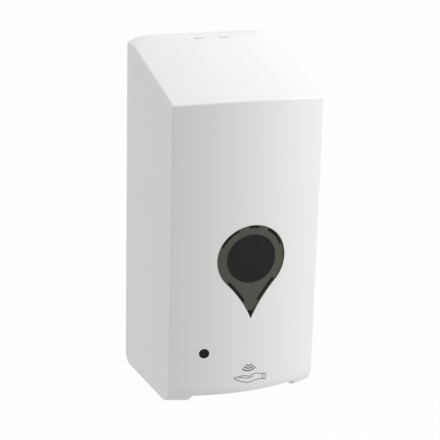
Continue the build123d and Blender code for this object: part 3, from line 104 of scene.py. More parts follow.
def start_material(name, **sockets):
    """New material; returns it with its tree, its Principled shader and Object coordinates."""
    material = bpy.data.materials.new(name)
    material.use_nodes = True
    tree = material.node_tree
    shader = tree.nodes["Principled BSDF"]
    for socket, value in sockets.items():
        title = socket.replace("_", " ").title().replace("Ior", "IOR")
        shader.inputs[title].default_value = value
    coordinates = add_node(tree, "ShaderNodeTexCoord").outputs["Object"]
    return material, tree, shader, coordinates


def lay_on(tree, shader, tone, colours, relief, strength, depth, gloss=None):
    """Tone mixes two hex colours, relief is raised by a depth in metres and may vary the gloss."""
    mix = add_node(
        tree,
        "ShaderNodeMix",
        {"data_type": "RGBA"},
        {MIX_SHARE: tone, MIX_FIRST: linear(colours[0]), MIX_SECOND: linear(colours[1])},
    )
    tree.links.new(mix.outputs[MIX_RESULT], shader.inputs["Base Color"])
    bump = add_node(
        tree,
        "ShaderNodeBump",
        inputs={"Strength": strength, "Distance": depth, "Height": relief},
    )
    tree.links.new(bump.outputs["Normal"], shader.inputs["Normal"])
    if gloss:
        rough = add_node(
            tree,
            "ShaderNodeMapRange",
            inputs={"Value": relief, "To Min": gloss[0], "To Max": gloss[1]},
        )
        tree.links.new(rough.outputs["Result"], shader.inputs["Roughness"])


def dress(material, *names):
    """Gives the material to CAD parts by name."""
    for name in names:
        nodes[name].data.materials.clear()
        nodes[name].data.materials.append(material)


print("parts to dress:", ", ".join(sorted(nodes)))

# %% [markdown]
# ## Moulded plastics
#
# Most of the dispenser is injection-moulded ABS. A polished mould leaves a gloss with a very slight
# waviness, which breaks up reflections without showing as a texture. The chassis parts inside come
# from a spark-eroded mould, whose fine grain makes them matt. The same function makes both: a noise
# for the grain drives bump and roughness, and a second, wide noise varies the colour by a hair, as
# pigment does. A real grain is about a tenth of a millimetre and wouldn't show in the picture, so
# it is drawn at about half a millimetre or more.

# %% Moulded plastic
PIGMENT_PITCH = 40 * MM


def moulded(name, colour, shade, roughness, spread, grain_mm, depth_mm, ior=1.53):
    """Moulded plastic: colour and shade mix over centimetres, the grain sets bump and gloss."""
    material, tree, shader, place = start_material(name, roughness=roughness, ior=ior)
    pigment = add_node(
        tree,
        "ShaderNodeTexNoise",
        inputs={"Vector": place, "Scale": 1 / PIGMENT_PITCH, "Detail": 1.0},
    )
    grain = add_node(
        tree,
        "ShaderNodeTexNoise",
        inputs={"Vector": place, "Scale": 1 / (grain_mm * MM), "Detail": 2.0},
    )
    lay_on(
        tree,
        shader,
        tone=pigment.outputs["Fac"],
        colours=(colour, shade),
        relief=grain.outputs["Fac"],
        strength=0.5,
        depth=depth_mm * MM,
        gloss=(roughness - spread, roughness + spread),
    )
    return material


# Polished mould: an even white with a soft gloss
cover_abs = moulded("gloss_white_abs", "F2F2F0", "F0F0EE", 0.38, 0.02, 1.2, 0.0015)
# Spark-eroded mould: white without reflections, a shade darker than the cover
chassis_white = moulded("matt_white_abs", "E2E2DF", "DCDCD9", 0.5, 0.04, 0.6, 0.02)
# The same grain in grey, which sets the drive housing off from the back plate
chassis_grey = moulded("matt_grey_abs", "A9ABAD", "A2A4A6", 0.52, 0.04, 0.6, 0.02)
# Black hides the grain, so only broad dull highlights show
black_plastic = moulded("matt_black_abs", "1B1B1D", "161618", 0.45, 0.05, 0.6, 0.02)
dress(cover_abs, "front_cover")
dress(chassis_white, "back_plate", "gear_plate")
dress(chassis_grey, "drive_housing", "drive_front_panel", "battery_door")
dress(black_plastic, "switch_knob", "switch_body", "power_socket", "ir_receiver")
print("kinds of ABS:", len(bpy.data.materials))

# %% [markdown]
# ## Plastics that rub, seal or carry load
#
# The drive needs other plastics than the case. Gears, latch and nozzle are acetal, which slides
# well; the pump is nylon filled with glass; the cap is polypropylene; the seals are rubber. All are
# moulded too, so the same function makes them. They differ in colour, gloss and index.

# %% Plastics and rubbers of the drive
# Acetal looks slightly waxy: smoother than matt ABS, with a wide highlight
orange_acetal = moulded("orange_acetal", "C7641E", "BD5C18", 0.38, 0.03, 1.2, 0.01, 1.48)
white_acetal = moulded("white_acetal", "E6E4DA", "DFDDD2", 0.36, 0.03, 1.2, 0.01, 1.48)
# Glass fibres near the surface make nylon dull and a little cloudy
pump_nylon = moulded("glass_filled_nylon", "3C3E41", "34363A", 0.55, 0.06, 0.4, 0.02)
# Polypropylene has a satin look
cap_blue = moulded("matt_blue_polypropylene", "2F5C93", "2A5488", 0.42, 0.04, 0.8, 0.015, 1.49)
# Rubbers hardly shine, silicone a little more than black rubber
silicone = moulded("silicone_rubber", "B86A55", "AE614C", 0.6, 0.05, 0.8, 0.02, 1.43)
black_rubber = moulded("black_rubber", "18181A", "131315", 0.65, 0.06, 0.5, 0.02, 1.52)
dress(orange_acetal, "latch")
dress(white_acetal, "drive_gear", "pump_drive_gear", "pump_idler_gear", "nozzle", "tank_outlet")
dress(pump_nylon, "pump_body", "pump_cover_plate", "inlet_duct")
dress(cap_blue, "tank_cap")
dress(silicone, "pump_gasket", "outlet_valve")
dress(black_rubber, "inlet_seal", "cap_gasket")
print("moulded materials so far:", len(bpy.data.materials))

# %% [markdown]
# ## Smoked window and dark indicator
#
# The window is smoked acrylic, tinted right through. Real glass shaders bend light, which takes
# many samples and leaves streaks behind a lens as thin as this one. A dark glossy surface that lets
# part of the light straight through looks the same and stays clean: light crosses its two faces on
# the way in and again on the way out, so what lies behind is darkened twice, as by a real tint.
# The indicator's plastic looks black but lets a lamp behind it shine through.

# %% Acrylic
CLOUD_PITCH = 15 * MM
POLISH_DEPTH = 0.004 * MM
SMOKE_ALPHA = 0.42


def acrylic(name, tint, shade, **sockets):
    """Tinted acrylic with a faint unevenness in its tint and its polish."""
    material, tree, shader, place = start_material(name, ior=1.49, **sockets)
    cloud = add_node(
        tree,
        "ShaderNodeTexNoise",
        inputs={"Vector": place, "Scale": 1 / CLOUD_PITCH, "Detail": 1.0},
    )
    lay_on(
        tree,
        shader,
        tone=cloud.outputs["Fac"],
        colours=(tint, shade),
        relief=cloud.outputs["Fac"],
        strength=0.3,
        depth=POLISH_DEPTH,
    )
    return material


# Near black, with just enough let through for the pale frame behind it to glow greenish grey
smoke_acrylic = acrylic(
    "smoked_acrylic", "0E0E0E", "0B0B0C", roughness=0.12, alpha=SMOKE_ALPHA, specular_ior_level=0.1
)
# Clear, as a light guide is
clear_acrylic = acrylic(
    "clear_acrylic", "F4F6F6", "F0F3F3", roughness=0.05, transmission_weight=1.0
)
# Black to the eye, with a faint highlight; infrared light passes through the real one
dark_acrylic = acrylic(
    "infrared_acrylic", "121214", "0F0F10", roughness=0.2, specular_ior_level=0.2
)
# Tinted resin of a small lamp, glossy and half clear
red_epoxy = acrylic("red_lamp_epoxy", "B0201C", "A51C18", roughness=0.15, transmission_weight=0.4)
dress(clear_acrylic, "light_guide", "ir_emitter")
dress(dark_acrylic, "indicator_lens", "sensor_window")
dress(red_epoxy, "indicator_led")
print("share of light through both faces of the window:", round((1 - SMOKE_ALPHA) ** 2, 2))

# %% [markdown]
# ## Tank
#
# The tank is blow-moulded polyethylene without pigment. It is milky: light enters, scatters in the
# wall and comes out again nearby, which subsurface scattering gives. Blow moulding leaves the wall
# slightly uneven, so the bump has a pitch of a centimetre.

# %% Polyethylene
SCATTER_REACH = 4 * MM
WALL_PITCH = 10 * MM
WALL_UNEVENNESS = 0.06 * MM
# Milky white that glows softly at its edges
tank_pe, tree, shader, place = start_material(
    "natural_polyethylene",
    roughness=0.42,
    ior=1.51,
    subsurface_weight=0.35,
    subsurface_scale=SCATTER_REACH,
)
milk = add_node(
    tree,
    "ShaderNodeTexNoise",
    inputs={"Vector": place, "Scale": 1 / WALL_PITCH, "Detail": 2.0},
)
lay_on(
    tree,
    shader,
    tone=milk.outputs["Fac"],
    colours=("E9EAE3", "E2E4DB"),
    relief=milk.outputs["Fac"],
    strength=0.5,
    depth=WALL_UNEVENNESS,
)
dress(tank_pe, "tank")
print("light scatters over mm:", round(SCATTER_REACH / MM, 1))

# %% [markdown]
# ## Metals
#
# Screws, pins and shafts are steel: drawn or turned, so fine marks run round or along them. The
# shader's anisotropy could hint at them, but marks that are really there also show close up, so a
# noise stretched along one axis draws them, a little coarser than real ones. Brass and the nickel
# of the battery contacts differ in colour and polish only. Metals keep the shader's default index.

# %% Metals
MARK_DEPTH = 0.01 * MM
GLOSS_BELOW = 0.06
GLOSS_ABOVE = 0.08


def drawn_metal(name, colour, shade, roughness, stretch, mark_mm=0.25):
    """Metal with marks a fraction of a millimetre apart, stretched by a factor for each axis."""
    material, tree, shader, place = start_material(name, metallic=1.0, roughness=roughness)
    turned = add_node(tree, "ShaderNodeMapping", inputs={"Vector": place, "Scale": stretch})
    marks = add_node(
        tree,
        "ShaderNodeTexNoise",
        inputs={"Vector": turned.outputs["Vector"], "Scale": 1 / (mark_mm * MM), "Detail": 3.0},
    )
    lay_on(
        tree,
        shader,
        tone=marks.outputs["Fac"],
        colours=(colour, shade),
        relief=marks.outputs["Fac"],
        strength=0.4,
        depth=MARK_DEPTH,
        gloss=(roughness - GLOSS_BELOW, roughness + GLOSS_ABOVE),
    )
    return material


# Zinc plating: a cool, slightly milky grey
zinc_steel = drawn_metal("zinc_plated_steel", "C9CACB", "B4B6B9", 0.3, (1, 1, 1))
# Ground steel is the brightest; its marks are drawn out along Y, as the drive's shafts lie
ground_shaft = drawn_metal("ground_steel", "D4D5D6", "C2C4C6", 0.2, (1, 0.1, 1))
# A deep-drawn can keeps coarser marks and a duller shine
motor_steel = drawn_metal("drawn_steel_can", "B9BBBD", "A6A8AB", 0.34, (1, 0.05, 1), 0.4)
# Brass is told by its yellow, nickel by a warm white
turned_brass = drawn_metal("turned_brass", "D8B45A", "C79F45", 0.28, (1, 1, 1))
nickel = drawn_metal("nickel_plated_spring_steel", "D9D6CE", "CBC8BF", 0.22, (1, 1, 0.2))
dress(zinc_steel, "panel_screws", "pump_screws", "gear_plate_screws", "board_screws")
dress(zinc_steel, "latch_spring")
dress(ground_shaft, "hinge_pins", "pump_shaft", "idler_shaft", "motor_shaft")
dress(motor_steel, "motor")
dress(turned_brass, "motor_pinion")
dress(nickel, "battery_contacts")
print("materials with the metals:", len(bpy.data.materials))

# %% [markdown]
# ## Circuit boards
#
# A circuit board is green because of its solder mask. The copper tracks under it show as slightly
# lighter lines on a grid of about a millimetre and a quarter. A picture of a board would show more,
# but a brick pattern stays sharp from near and needs no file. The pattern is flat, so a Mapping
# node lays it in the plane of each board.

# %% Circuit boards
TRACK_PITCH_MM = 1.27
TRACK_WIDTH_MM = 0.16
TRACK_RUN_MM = 5.0
TRACK_HEIGHT = 0.03 * MM


def circuit_board(name, turn):
    """Green solder mask with tracks; turn lays the pattern in the board's own plane."""
    material, tree, shader, place = start_material(name, roughness=0.32, ior=1.52)
    laid = add_node(
        tree,
        "ShaderNodeMapping",
        inputs={"Vector": place, "Rotation": turn, "Scale": (1 / MM, 1 / MM, 1 / MM)},
    )
    tracks = add_node(
        tree,
        "ShaderNodeTexBrick",
        {"offset": 0.37, "squash": 0.7},
        {
            "Vector": laid.outputs["Vector"],
            "Color1": linear("1E6A3C"),
            "Color2": linear("1B6137"),
            "Mortar": linear("2F8550"),
            "Scale": 1.0,
            "Mortar Size": TRACK_WIDTH_MM,
            "Brick Width": TRACK_RUN_MM,
            "Row Height": TRACK_PITCH_MM,
        },
    )
    tree.links.new(tracks.outputs["Color"], shader.inputs["Base Color"])
    bump = add_node(
        tree,
        "ShaderNodeBump",
        inputs={"Strength": 0.5, "Distance": TRACK_HEIGHT, "Height": tracks.outputs["Fac"]},
    )
    tree.links.new(bump.outputs["Normal"], shader.inputs["Normal"])
    return material


# Lacquer over copper: green with a satin gloss and faint raised lines
dress(circuit_board("solder_mask_upright", (math.pi / 2, 0, 0)), "control_board")
dress(circuit_board("solder_mask_flat", (0, 0, 0)), "sensor_board")
board_low, board_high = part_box("control_board")
board_rows = (board_high.z - board_low.z) / MM / TRACK_PITCH_MM
print("rows of tracks on the control board:", int(board_rows))

# %% [markdown]
# ## Battery cells
#
# A cell's jacket is a printed foil. Here it stays plain, dark below and gold above, with a bare
# steel band at each end. Height alone decides the colour, so one colour ramp with hard borders,
# read by the height of a point in steps, draws all four jackets at once.

# %% Cell jacket
# Places on the ramp where the colours start: steel, dark foil, gold foil, steel
CELL_BANDS = ((0.0, "C8C9CA"), (0.08, "23272C"), (0.68, "B08A3E"), (0.94, "C8C9CA"))
CELL_STEPS = 9.0
SCUFF_PITCH = 1.5 * MM
SCUFF_DEPTH = 0.01 * MM
cell_low, cell_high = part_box("batteries")
# Metallised foil: half metal, half lacquer
cell_foil, tree, shader, place = start_material("cell_foil", roughness=0.3, metallic=0.6)
height = add_node(tree, "ShaderNodeSeparateXYZ", inputs={"Vector": place})
band = add_node(
    tree,
    "ShaderNodeMapRange",
    {"interpolation_type": "STEPPED"},
    {
        "Value": height.outputs["Z"],
        "From Min": cell_low.z,
        "From Max": cell_high.z,
        "To Min": 0.0,
        "To Max": 1.0,
        "Steps": CELL_STEPS,
    },
)
bands = add_node(tree, "ShaderNodeValToRGB", inputs={"Fac": band.outputs["Result"]})
bands.color_ramp.interpolation = "CONSTANT"
stops = bands.color_ramp.elements
stops.remove(stops[1])
stops[0].color = linear(CELL_BANDS[0][1])
for position, colour in CELL_BANDS[1:]:
    stops.new(position).color = linear(colour)
tree.links.new(bands.outputs["Color"], shader.inputs["Base Color"])
scuff = add_node(
    tree,
    "ShaderNodeTexNoise",
    inputs={"Vector": place, "Scale": 1 / SCUFF_PITCH, "Detail": 3.0},
)
bump = add_node(
    tree,
    "ShaderNodeBump",
    inputs={"Strength": 0.3, "Distance": SCUFF_DEPTH, "Height": scuff.outputs["Fac"]},
)
tree.links.new(bump.outputs["Normal"], shader.inputs["Normal"])
dress(cell_foil, "batteries")
print("materials on the parts:", len(bpy.data.materials))

# %% [markdown]
# ## The bulged front
#
# The lens, the thin layers behind it and the printing all follow the front of the cover. The front
# is part of a cylinder, whose radius follows from the cover's width and its bulge, so one short
# function gives its depth at any place and no surface has to be searched.

# %% Front surface
cover_low, cover_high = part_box("front_cover")
half_width = cover_high.x
cover_depth = -cover_low.y
FRONT_BULGE = 13.1 * MM
front_radius = (half_width ** 2 + FRONT_BULGE ** 2) / (2 * FRONT_BULGE)
front_center = front_radius - cover_depth


def front_y(x):
    """Y of the cover's front at x."""
    return front_center - math.sqrt(front_radius ** 2 - x ** 2)


print("front radius in mm:", round(front_radius / MM, 1))

# %% [markdown]
# ## From a bmesh to a piece
#
# Every new piece is shaped as a bmesh, Blender's editable mesh in memory, and becomes an object at
# the end. Its curved faces are shaded smooth, but an edge between two faces that meet at an angle
# has to stay crisp, or the shading smears round it. A modifier could pick those edges too; marking
# them here by their angle keeps the finished mesh complete in itself.

# %% Helpers for pieces
SHARP_ANGLE = math.radians(30)


def shade_smooth(skin):
    """Smooth shading over the curved faces, with edges past the sharp angle kept crisp."""
    for face in skin.faces:
        face.smooth = True
    for edge in skin.edges:
        edge.smooth = edge.calc_face_angle(0) < SHARP_ANGLE


def make_piece(name, skin, material):
    """Turns a bmesh into an object of the scene with one material."""
    mesh = bpy.data.meshes.new(name)
    skin.to_mesh(mesh)
    skin.free()
    mesh.materials.append(material)
    piece = bpy.data.objects.new(name, mesh)
    bpy.context.scene.collection.objects.link(piece)
    print(name, "has", len(mesh.polygons), "faces")
    return piece


print("edges stay crisp from degrees:", round(math.degrees(SHARP_ANGLE)))

# %% [markdown]
# ## The window lens
#
# The lens lies in a recess of the cover and is held by a ring of double-sided foam tape. In the
# model its back and the ledge share one curved surface, and the triangles of two such surfaces poke
# through each other in streaks. So the lens is a copy of the model's, welded into one skin, whose
# back is brought forward. That leaves room for three thin layers: tape, and painted shade for the
# slots and for the sight hole.

# %% Window lens
WELD = 0.001 * MM
LAYER_ROOM = 0.6 * MM
LENS_MIDDLE = 0.8 * MM


def behind_middle(vertex):
    """True for a corner on the back half of the lens."""
    return vertex.co.y > front_y(vertex.co.x) + LENS_MIDDLE


lens_skin = bmesh.new()
lens_skin.from_mesh(nodes["window_lens"].data)
bmesh.ops.remove_doubles(lens_skin, verts=lens_skin.verts[:], dist=WELD)
lens_back = [vertex for vertex in lens_skin.verts if behind_middle(vertex)]
bmesh.ops.translate(lens_skin, verts=lens_back, vec=(0, -LAYER_ROOM, 0))
shade_smooth(lens_skin)
window = make_piece("window_smoked", lens_skin, smoke_acrylic)
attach(window, "cover")
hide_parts("window_lens")

# %% [markdown]
# ## Tape between lens and ledge
#
# The tape gives the frame round the sight hole its greenish grey. Its outline could be drawn anew,
# but it is cut from the ledge's own faces, so it leaves out just the slots that the ledge has. A
# face belongs to the ledge if it looks forward, lies within the lens's width and height and is as
# deep as the lens's deepest point. Like each thin layer here, the tape starts as an open sheet,
# which is then extruded to its thickness.

# %% Tape
TAPE_GAP = 0.02 * MM
TAPE_THICKNESS = 0.34 * MM
LEDGE_TOLERANCE = 0.1 * MM
# A face looks forward if the Y of its normal is below this
FACING_FRONT = -0.5
lens_low, lens_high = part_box("window_lens")
LEDGE_DEPTH = max(
    vertex.co.y - front_y(vertex.co.x) for vertex in nodes["window_lens"].data.vertices
)
# Pale foam with a green cast, seen only through the smoked lens
tape_pale = moulded("pale_bonding_tape", "F0F7E0", "ECF3DC", 0.6, 0.05, 1.0, 0.005)


def on_ledge(face):
    """True for a face of the cover that the lens lies on."""
    middle = face.calc_center_median()
    inside = lens_low.x < middle.x < lens_high.x and lens_low.z < middle.z < lens_high.z
    if not inside or face.normal.y >= FACING_FRONT:
        return False
    depths = [vertex.co.y - front_y(vertex.co.x) for vertex in face.verts]
    return max(abs(depth - LEDGE_DEPTH) for depth in depths) < LEDGE_TOLERANCE


def thicken(sheet, thickness):
    """Extrudes an open sheet along Y and turns its faces outwards."""
    copy = bmesh.ops.extrude_face_region(sheet, geom=sheet.faces[:], use_keep_orig=True)
    moved = [item for item in copy["geom"] if isinstance(item, bmesh.types.BMVert)]
    bmesh.ops.translate(sheet, verts=moved, vec=(0, thickness, 0))
    bmesh.ops.recalc_face_normals(sheet, faces=sheet.faces[:])


tape = bmesh.new()
tape.from_mesh(nodes["front_cover"].data)
bmesh.ops.delete(tape, geom=[face for face in tape.faces if not on_ledge(face)], context="FACES")
bmesh.ops.remove_doubles(tape, verts=tape.verts[:], dist=WELD)
tape_back = TAPE_GAP + TAPE_THICKNESS - LAYER_ROOM
bmesh.ops.translate(tape, verts=tape.verts[:], vec=(0, tape_back, 0))
thicken(tape, -TAPE_THICKNESS)
shade_smooth(tape)
tape_piece = make_piece("window_tape", tape, tape_pale)
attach(tape_piece, "cover")
print("ledge depth in mm:", round(LEDGE_DEPTH / MM, 2))

# %% [markdown]
# ## Painted shade in the slots
#
# The slots in the frame look evenly dark, also where one would see their lit walls, since they open
# into shade. A thin grey mask behind the tape paints that shade. It has the outline of the lens and
# an oval opening. The lens's back gives the outline, and planes tangent to the oval cut the opening
# out of it. A boolean is the usual way to cut a hole, but it needs closed bodies, and this is still
# an open sheet.

# %% Mask behind the tape
SIGHT_Z = 117.9 * MM
MASK_OPENING = (19.9 * MM, 18.9 * MM)
MASK_CUTS = 40
MASK_BEFORE_LEDGE = 0.18 * MM
MASK_DEPTH = LEDGE_DEPTH - MASK_BEFORE_LEDGE
MASK_THICKNESS = 0.08 * MM
CUT_TOLERANCE = 0.0001 * MM
# Matt grey painted shade for the slots, which looks nearly black through the smoked lens
slot_shade_grey = moulded("painted_slot_shade", "6B6B66", "656560", 0.6, 0.04, 1.0, 0.005)


def cut(sheet, point, normal):
    """Cuts all faces of a sheet along a plane and keeps both sides."""
    bmesh.ops.bisect_plane(
        sheet,
        geom=sheet.verts[:] + sheet.edges[:] + sheet.faces[:],
        dist=CUT_TOLERANCE,
        plane_co=point,
        plane_no=normal,
    )


def in_opening(face):
    """True for a face inside the mask's oval opening."""
    middle = face.calc_center_median()
    across, up = middle.x / MASK_OPENING[0], (middle.z - SIGHT_Z) / MASK_OPENING[1]
    return math.hypot(across, up) < 1


mask = bmesh.new()
mask.from_mesh(window.data)
not_back = [face for face in mask.faces if not all(map(behind_middle, face.verts))]
bmesh.ops.delete(mask, geom=not_back, context="FACES")
for step in range(MASK_CUTS):
    angle = 2 * math.pi * step / MASK_CUTS
    across, up = math.cos(angle), math.sin(angle)
    cut(
        mask,
        (MASK_OPENING[0] * across, 0, SIGHT_Z + MASK_OPENING[1] * up),
        (across / MASK_OPENING[0], 0, up / MASK_OPENING[1]),
    )
bmesh.ops.delete(mask, geom=[face for face in mask.faces if in_opening(face)], context="FACES")
for vertex in mask.verts:
    vertex.co.y = front_y(vertex.co.x) + MASK_DEPTH
thicken(mask, MASK_THICKNESS)
shade_smooth(mask)
# A grey sheet of painted shade behind the slots
mask_piece = make_piece("slot_shade_mask", mask, slot_shade_grey)
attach(mask_piece, "cover")

# %% [markdown]
# ## Painted shade behind the sight hole
#
# Through the sight hole the real window is evenly dark, with a darker line round its edge, and the
# pale tank behind it hardly shows, because the inside of the cover lies in shade. A grey film on
# the back of the lens paints that shade as an even tone. It is an oval a little smaller than the
# hole, so a dark gap stays all round. A flat oval would poke through the curved lens, so it is cut
# into upright strips first, and then each corner is put right behind the lens.

# %% Painted shade film
SIGHT_HALF = (19.8 * MM, 18.8 * MM)
SHADE_FILM_SEGMENTS = 72
SHADE_FILM_STRIPS = 24
SHADE_FILM_DEPTH = LEDGE_DEPTH - LAYER_ROOM + TAPE_GAP
SHADE_FILM_THICKNESS = 0.1 * MM
# Half-clear grey that paints the shaded inside: it takes the light from behind and gives an even
# tone of its own
painted_sight_shade = acrylic(
    "painted_sight_shade", "939395", "8F8F92", roughness=0.3, alpha=0.5, specular_ior_level=0.1
)
film = bmesh.new()
bmesh.ops.create_circle(
    film,
    cap_ends=True,
    segments=SHADE_FILM_SEGMENTS,
    radius=1.0,
    matrix=Matrix.Translation((0, 0, SIGHT_Z))
    @ Matrix.Diagonal((SIGHT_HALF[0], 1, SIGHT_HALF[1], 1))
    @ Matrix.Rotation(math.pi / 2, 4, "X"),
)
for strip in range(1, SHADE_FILM_STRIPS):
    cut(film, (SIGHT_HALF[0] * (2 * strip / SHADE_FILM_STRIPS - 1), 0, 0), (1, 0, 0))
for vertex in film.verts:
    vertex.co.y = front_y(vertex.co.x) + SHADE_FILM_DEPTH
thicken(film, SHADE_FILM_THICKNESS)
shade_smooth(film)
# A grey sheet of painted shade behind the sight hole
film_piece = make_piece("sight_shade_film", film, painted_sight_shade)
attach(film_piece, "cover")

# %% [markdown]
# ## The latch spring
#
# A compression spring has round wire and closed ends: the first and last turns lie flat, so that it
# stands straight. A curve with a round bevel could follow such a coil. Spinning a small circle
# about the spring's axis while it rises draws it with less, and changing the rise between the
# spins closes the ends.

# %% Latch spring
WIRE_RADIUS = 0.35 * MM
WIRE_SIDES = 12
COIL_RADIUS = 2.6 * MM
STEPS_PER_TURN = 28
END_TURNS = 0.75
FREE_TURNS = 4
spring_low, spring_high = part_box("latch_spring")
spring_length = spring_high.z - spring_low.z
coil_axis = Vector(
    ((spring_low.x + spring_high.x) / 2, (spring_low.y + spring_high.y) / 2, 0)
)
end_rise = 2 * WIRE_RADIUS * END_TURNS
free_rise = spring_length - 2 * WIRE_RADIUS - 2 * end_rise

coil = bmesh.new()
wire_start = coil_axis + Vector((COIL_RADIUS, 0, spring_low.z + WIRE_RADIUS))
bmesh.ops.create_circle(
    coil,
    segments=WIRE_SIDES,
    radius=WIRE_RADIUS,
    matrix=Matrix.Translation(wire_start) @ Matrix.Rotation(math.pi / 2, 4, "X"),
)
ring = coil.verts[:] + coil.edges[:]
for turns, rise in ((END_TURNS, end_rise), (FREE_TURNS, free_rise), (END_TURNS, end_rise)):
    steps = round(turns * STEPS_PER_TURN)
    ring = bmesh.ops.spin(
        coil,
        geom=ring,
        cent=coil_axis,
        axis=(0, 0, 1),
        dvec=(0, 0, rise / steps),
        angle=2 * math.pi * turns,
        steps=steps,
        use_merge=False,
    )["geom_last"]
bmesh.ops.remove_doubles(coil, verts=coil.verts[:], dist=WELD)
bmesh.ops.holes_fill(coil, edges=coil.edges[:], sides=WIRE_SIDES)
bmesh.ops.recalc_face_normals(coil, faces=coil.faces[:])
shade_smooth(coil)
latch_coil = make_piece("latch_coil", coil, zinc_steel)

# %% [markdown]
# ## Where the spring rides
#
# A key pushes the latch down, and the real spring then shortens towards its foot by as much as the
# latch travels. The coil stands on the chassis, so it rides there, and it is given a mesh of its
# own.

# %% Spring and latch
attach(latch_coil, "base")
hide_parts("latch_spring")
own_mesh(latch_coil)

# %% [markdown]
# ## The printed pictogram
#
# Under the window a hand is printed beneath three waves, the common sign for a sensor. Printing ink
# lies on the surface, a few hundredths of a millimetre thick. A flat mesh pushed onto the bulged
# front follows it better than a texture would, and keeps a crisp edge. Its back lies just inside
# the cover, so no gap can show.

# %% Printing on the front
INK = 0.04 * MM
MOTTLE_PITCH = 0.5 * MM
MOTTLE_DEPTH = 0.005 * MM
# Screen-printing ink: grey rather than black, matt, with a slight mottle
printing_ink, tree, shader, place = start_material("grey_printing_ink", roughness=0.5, ior=1.5)
mottle = add_node(
    tree,
    "ShaderNodeTexNoise",
    inputs={"Vector": place, "Scale": 1 / MOTTLE_PITCH, "Detail": 2.0},
)
lay_on(
    tree,
    shader,
    tone=mottle.outputs["Fac"],
    colours=("55565A", "5E5F63"),
    relief=mottle.outputs["Fac"],
    strength=0.3,
    depth=MOTTLE_DEPTH,
)


def print_on_front(name, flat):
    """Turns a flat bmesh drawn in X and Z into ink on the cover's front."""
    bmesh.ops.triangulate(flat, faces=flat.faces[:])
    for vertex in flat.verts:
        vertex.co.y = front_y(vertex.co.x) - INK
    thicken(flat, 2 * INK)
    piece = make_piece(name, flat, printing_ink)
    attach(piece, "cover")


print("ink in micrometres:", round(INK / MM * 1000))

# %% [markdown]
# ## Three waves
#
# Each wave is an arc of even width. Cutting arcs out of discs would take several steps, so a short
# edge from the inner to the outer radius is spun about the point that all three share.

# %% Sensor waves
WAVE_COUNT = 3
WAVE_CENTER_Z = 33.7 * MM
WAVE_FIRST = 2.9 * MM
WAVE_THICKNESS = 1.0 * MM
WAVE_PITCH = 2.2 * MM
WAVE_SWEEP = math.radians(94)
WAVE_STEPS = 14


def print_wave(index):
    """One sensor wave: a short radial edge spun about the point where the waves start."""
    flat = bmesh.new()
    inner = WAVE_FIRST + index * WAVE_PITCH
    start = -math.pi / 2 - WAVE_SWEEP / 2
    ends = []
    for radius in (inner, inner + WAVE_THICKNESS):
        across, up = radius * math.cos(start), radius * math.sin(start)
        ends.append(flat.verts.new((across, 0, WAVE_CENTER_Z + up)))
    edge = flat.edges.new(ends)
    bmesh.ops.spin(
        flat,
        geom=[edge] + ends,
        cent=(0, 0, WAVE_CENTER_Z),
        axis=(0, -1, 0),
        angle=WAVE_SWEEP,
        steps=WAVE_STEPS,
        use_merge=False,
    )
    print_on_front("sensor_wave_" + str(index + 1), flat)


for index in range(WAVE_COUNT):
    print_wave(index)

# %% [markdown]
# ## The hand under the waves
#
# The hand is seen from the side, palm up: the fingers point left and the cuff is at the right.
# Its outline is a face drawn through a few points, whose edges are rounded by a smooth subdivision
# and then inset; what lies inside the inset is taken out, so a line of even width stays. The two
# inner lines are edges that are extruded once by that width.

# %% The hand
HAND_OUTLINE_MM = [
    (15.0, 16.3), (10.4, 17.3), (6.0, 17.1), (2.8, 16.2), (-0.8, 15.8), (-4.6, 16.7),
    (-8.6, 18.3), (-11.6, 19.8), (-12.9, 21.0), (-12.2, 21.8), (-9.6, 22.1), (-6.0, 22.6),
    (-2.8, 22.4), (0.0, 21.4), (3.0, 22.5), (6.2, 23.3), (9.4, 22.5), (12.0, 21.9), (15.2, 21.8),
]
THUMB_LINE_MM = [(-8.4, 20.9), (-5.0, 20.4), (-1.6, 19.6), (1.4, 19.6), (4.2, 20.4)]
CUFF_LINE_MM = [(12.1, 21.9), (11.9, 17.1)]
LINE_WIDTH = 0.55 * MM


def print_outline(name, points_mm):
    """A closed line: the face is inset and its middle taken out."""
    flat = bmesh.new()
    middle = flat.faces.new([flat.verts.new((x * MM, 0, z * MM)) for x, z in points_mm])
    bmesh.ops.subdivide_edges(flat, edges=flat.edges[:], cuts=1, smooth=0.5)
    bmesh.ops.inset_region(
        flat, faces=[middle], thickness=LINE_WIDTH, use_boundary=True, use_even_offset=True
    )
    bmesh.ops.delete(flat, geom=[middle], context="FACES")
    print_on_front(name, flat)


def print_line(name, points_mm, shift):
    """An open line: its edges are extruded once by the line's width."""
    flat = bmesh.new()
    points = [flat.verts.new((x * MM, 0, z * MM)) for x, z in points_mm]
    edges = [flat.edges.new(pair) for pair in zip(points, points[1:])]
    line = bmesh.ops.extrude_edge_only(flat, edges=edges)
    far = [item for item in line["geom"] if isinstance(item, bmesh.types.BMVert)]
    bmesh.ops.translate(flat, verts=far, vec=shift)
    print_on_front(name, flat)


print_outline("hand_outline", HAND_OUTLINE_MM)
print_line("hand_thumb_line", THUMB_LINE_MM, (0, 0, LINE_WIDTH))
print_line("hand_cuff_line", CUFF_LINE_MM, (LINE_WIDTH, 0, 0))

# %% [markdown]
# ## Floor and backdrop
#
# The product stands before white, without a hard shadow. Floor and world look white to the camera
# and are a good deal dimmer to the object, or they would burn it out. What the camera sees, a gloss
# or a clear piece shows as well, so those rays count with the camera's.

# %% Rays that show the background


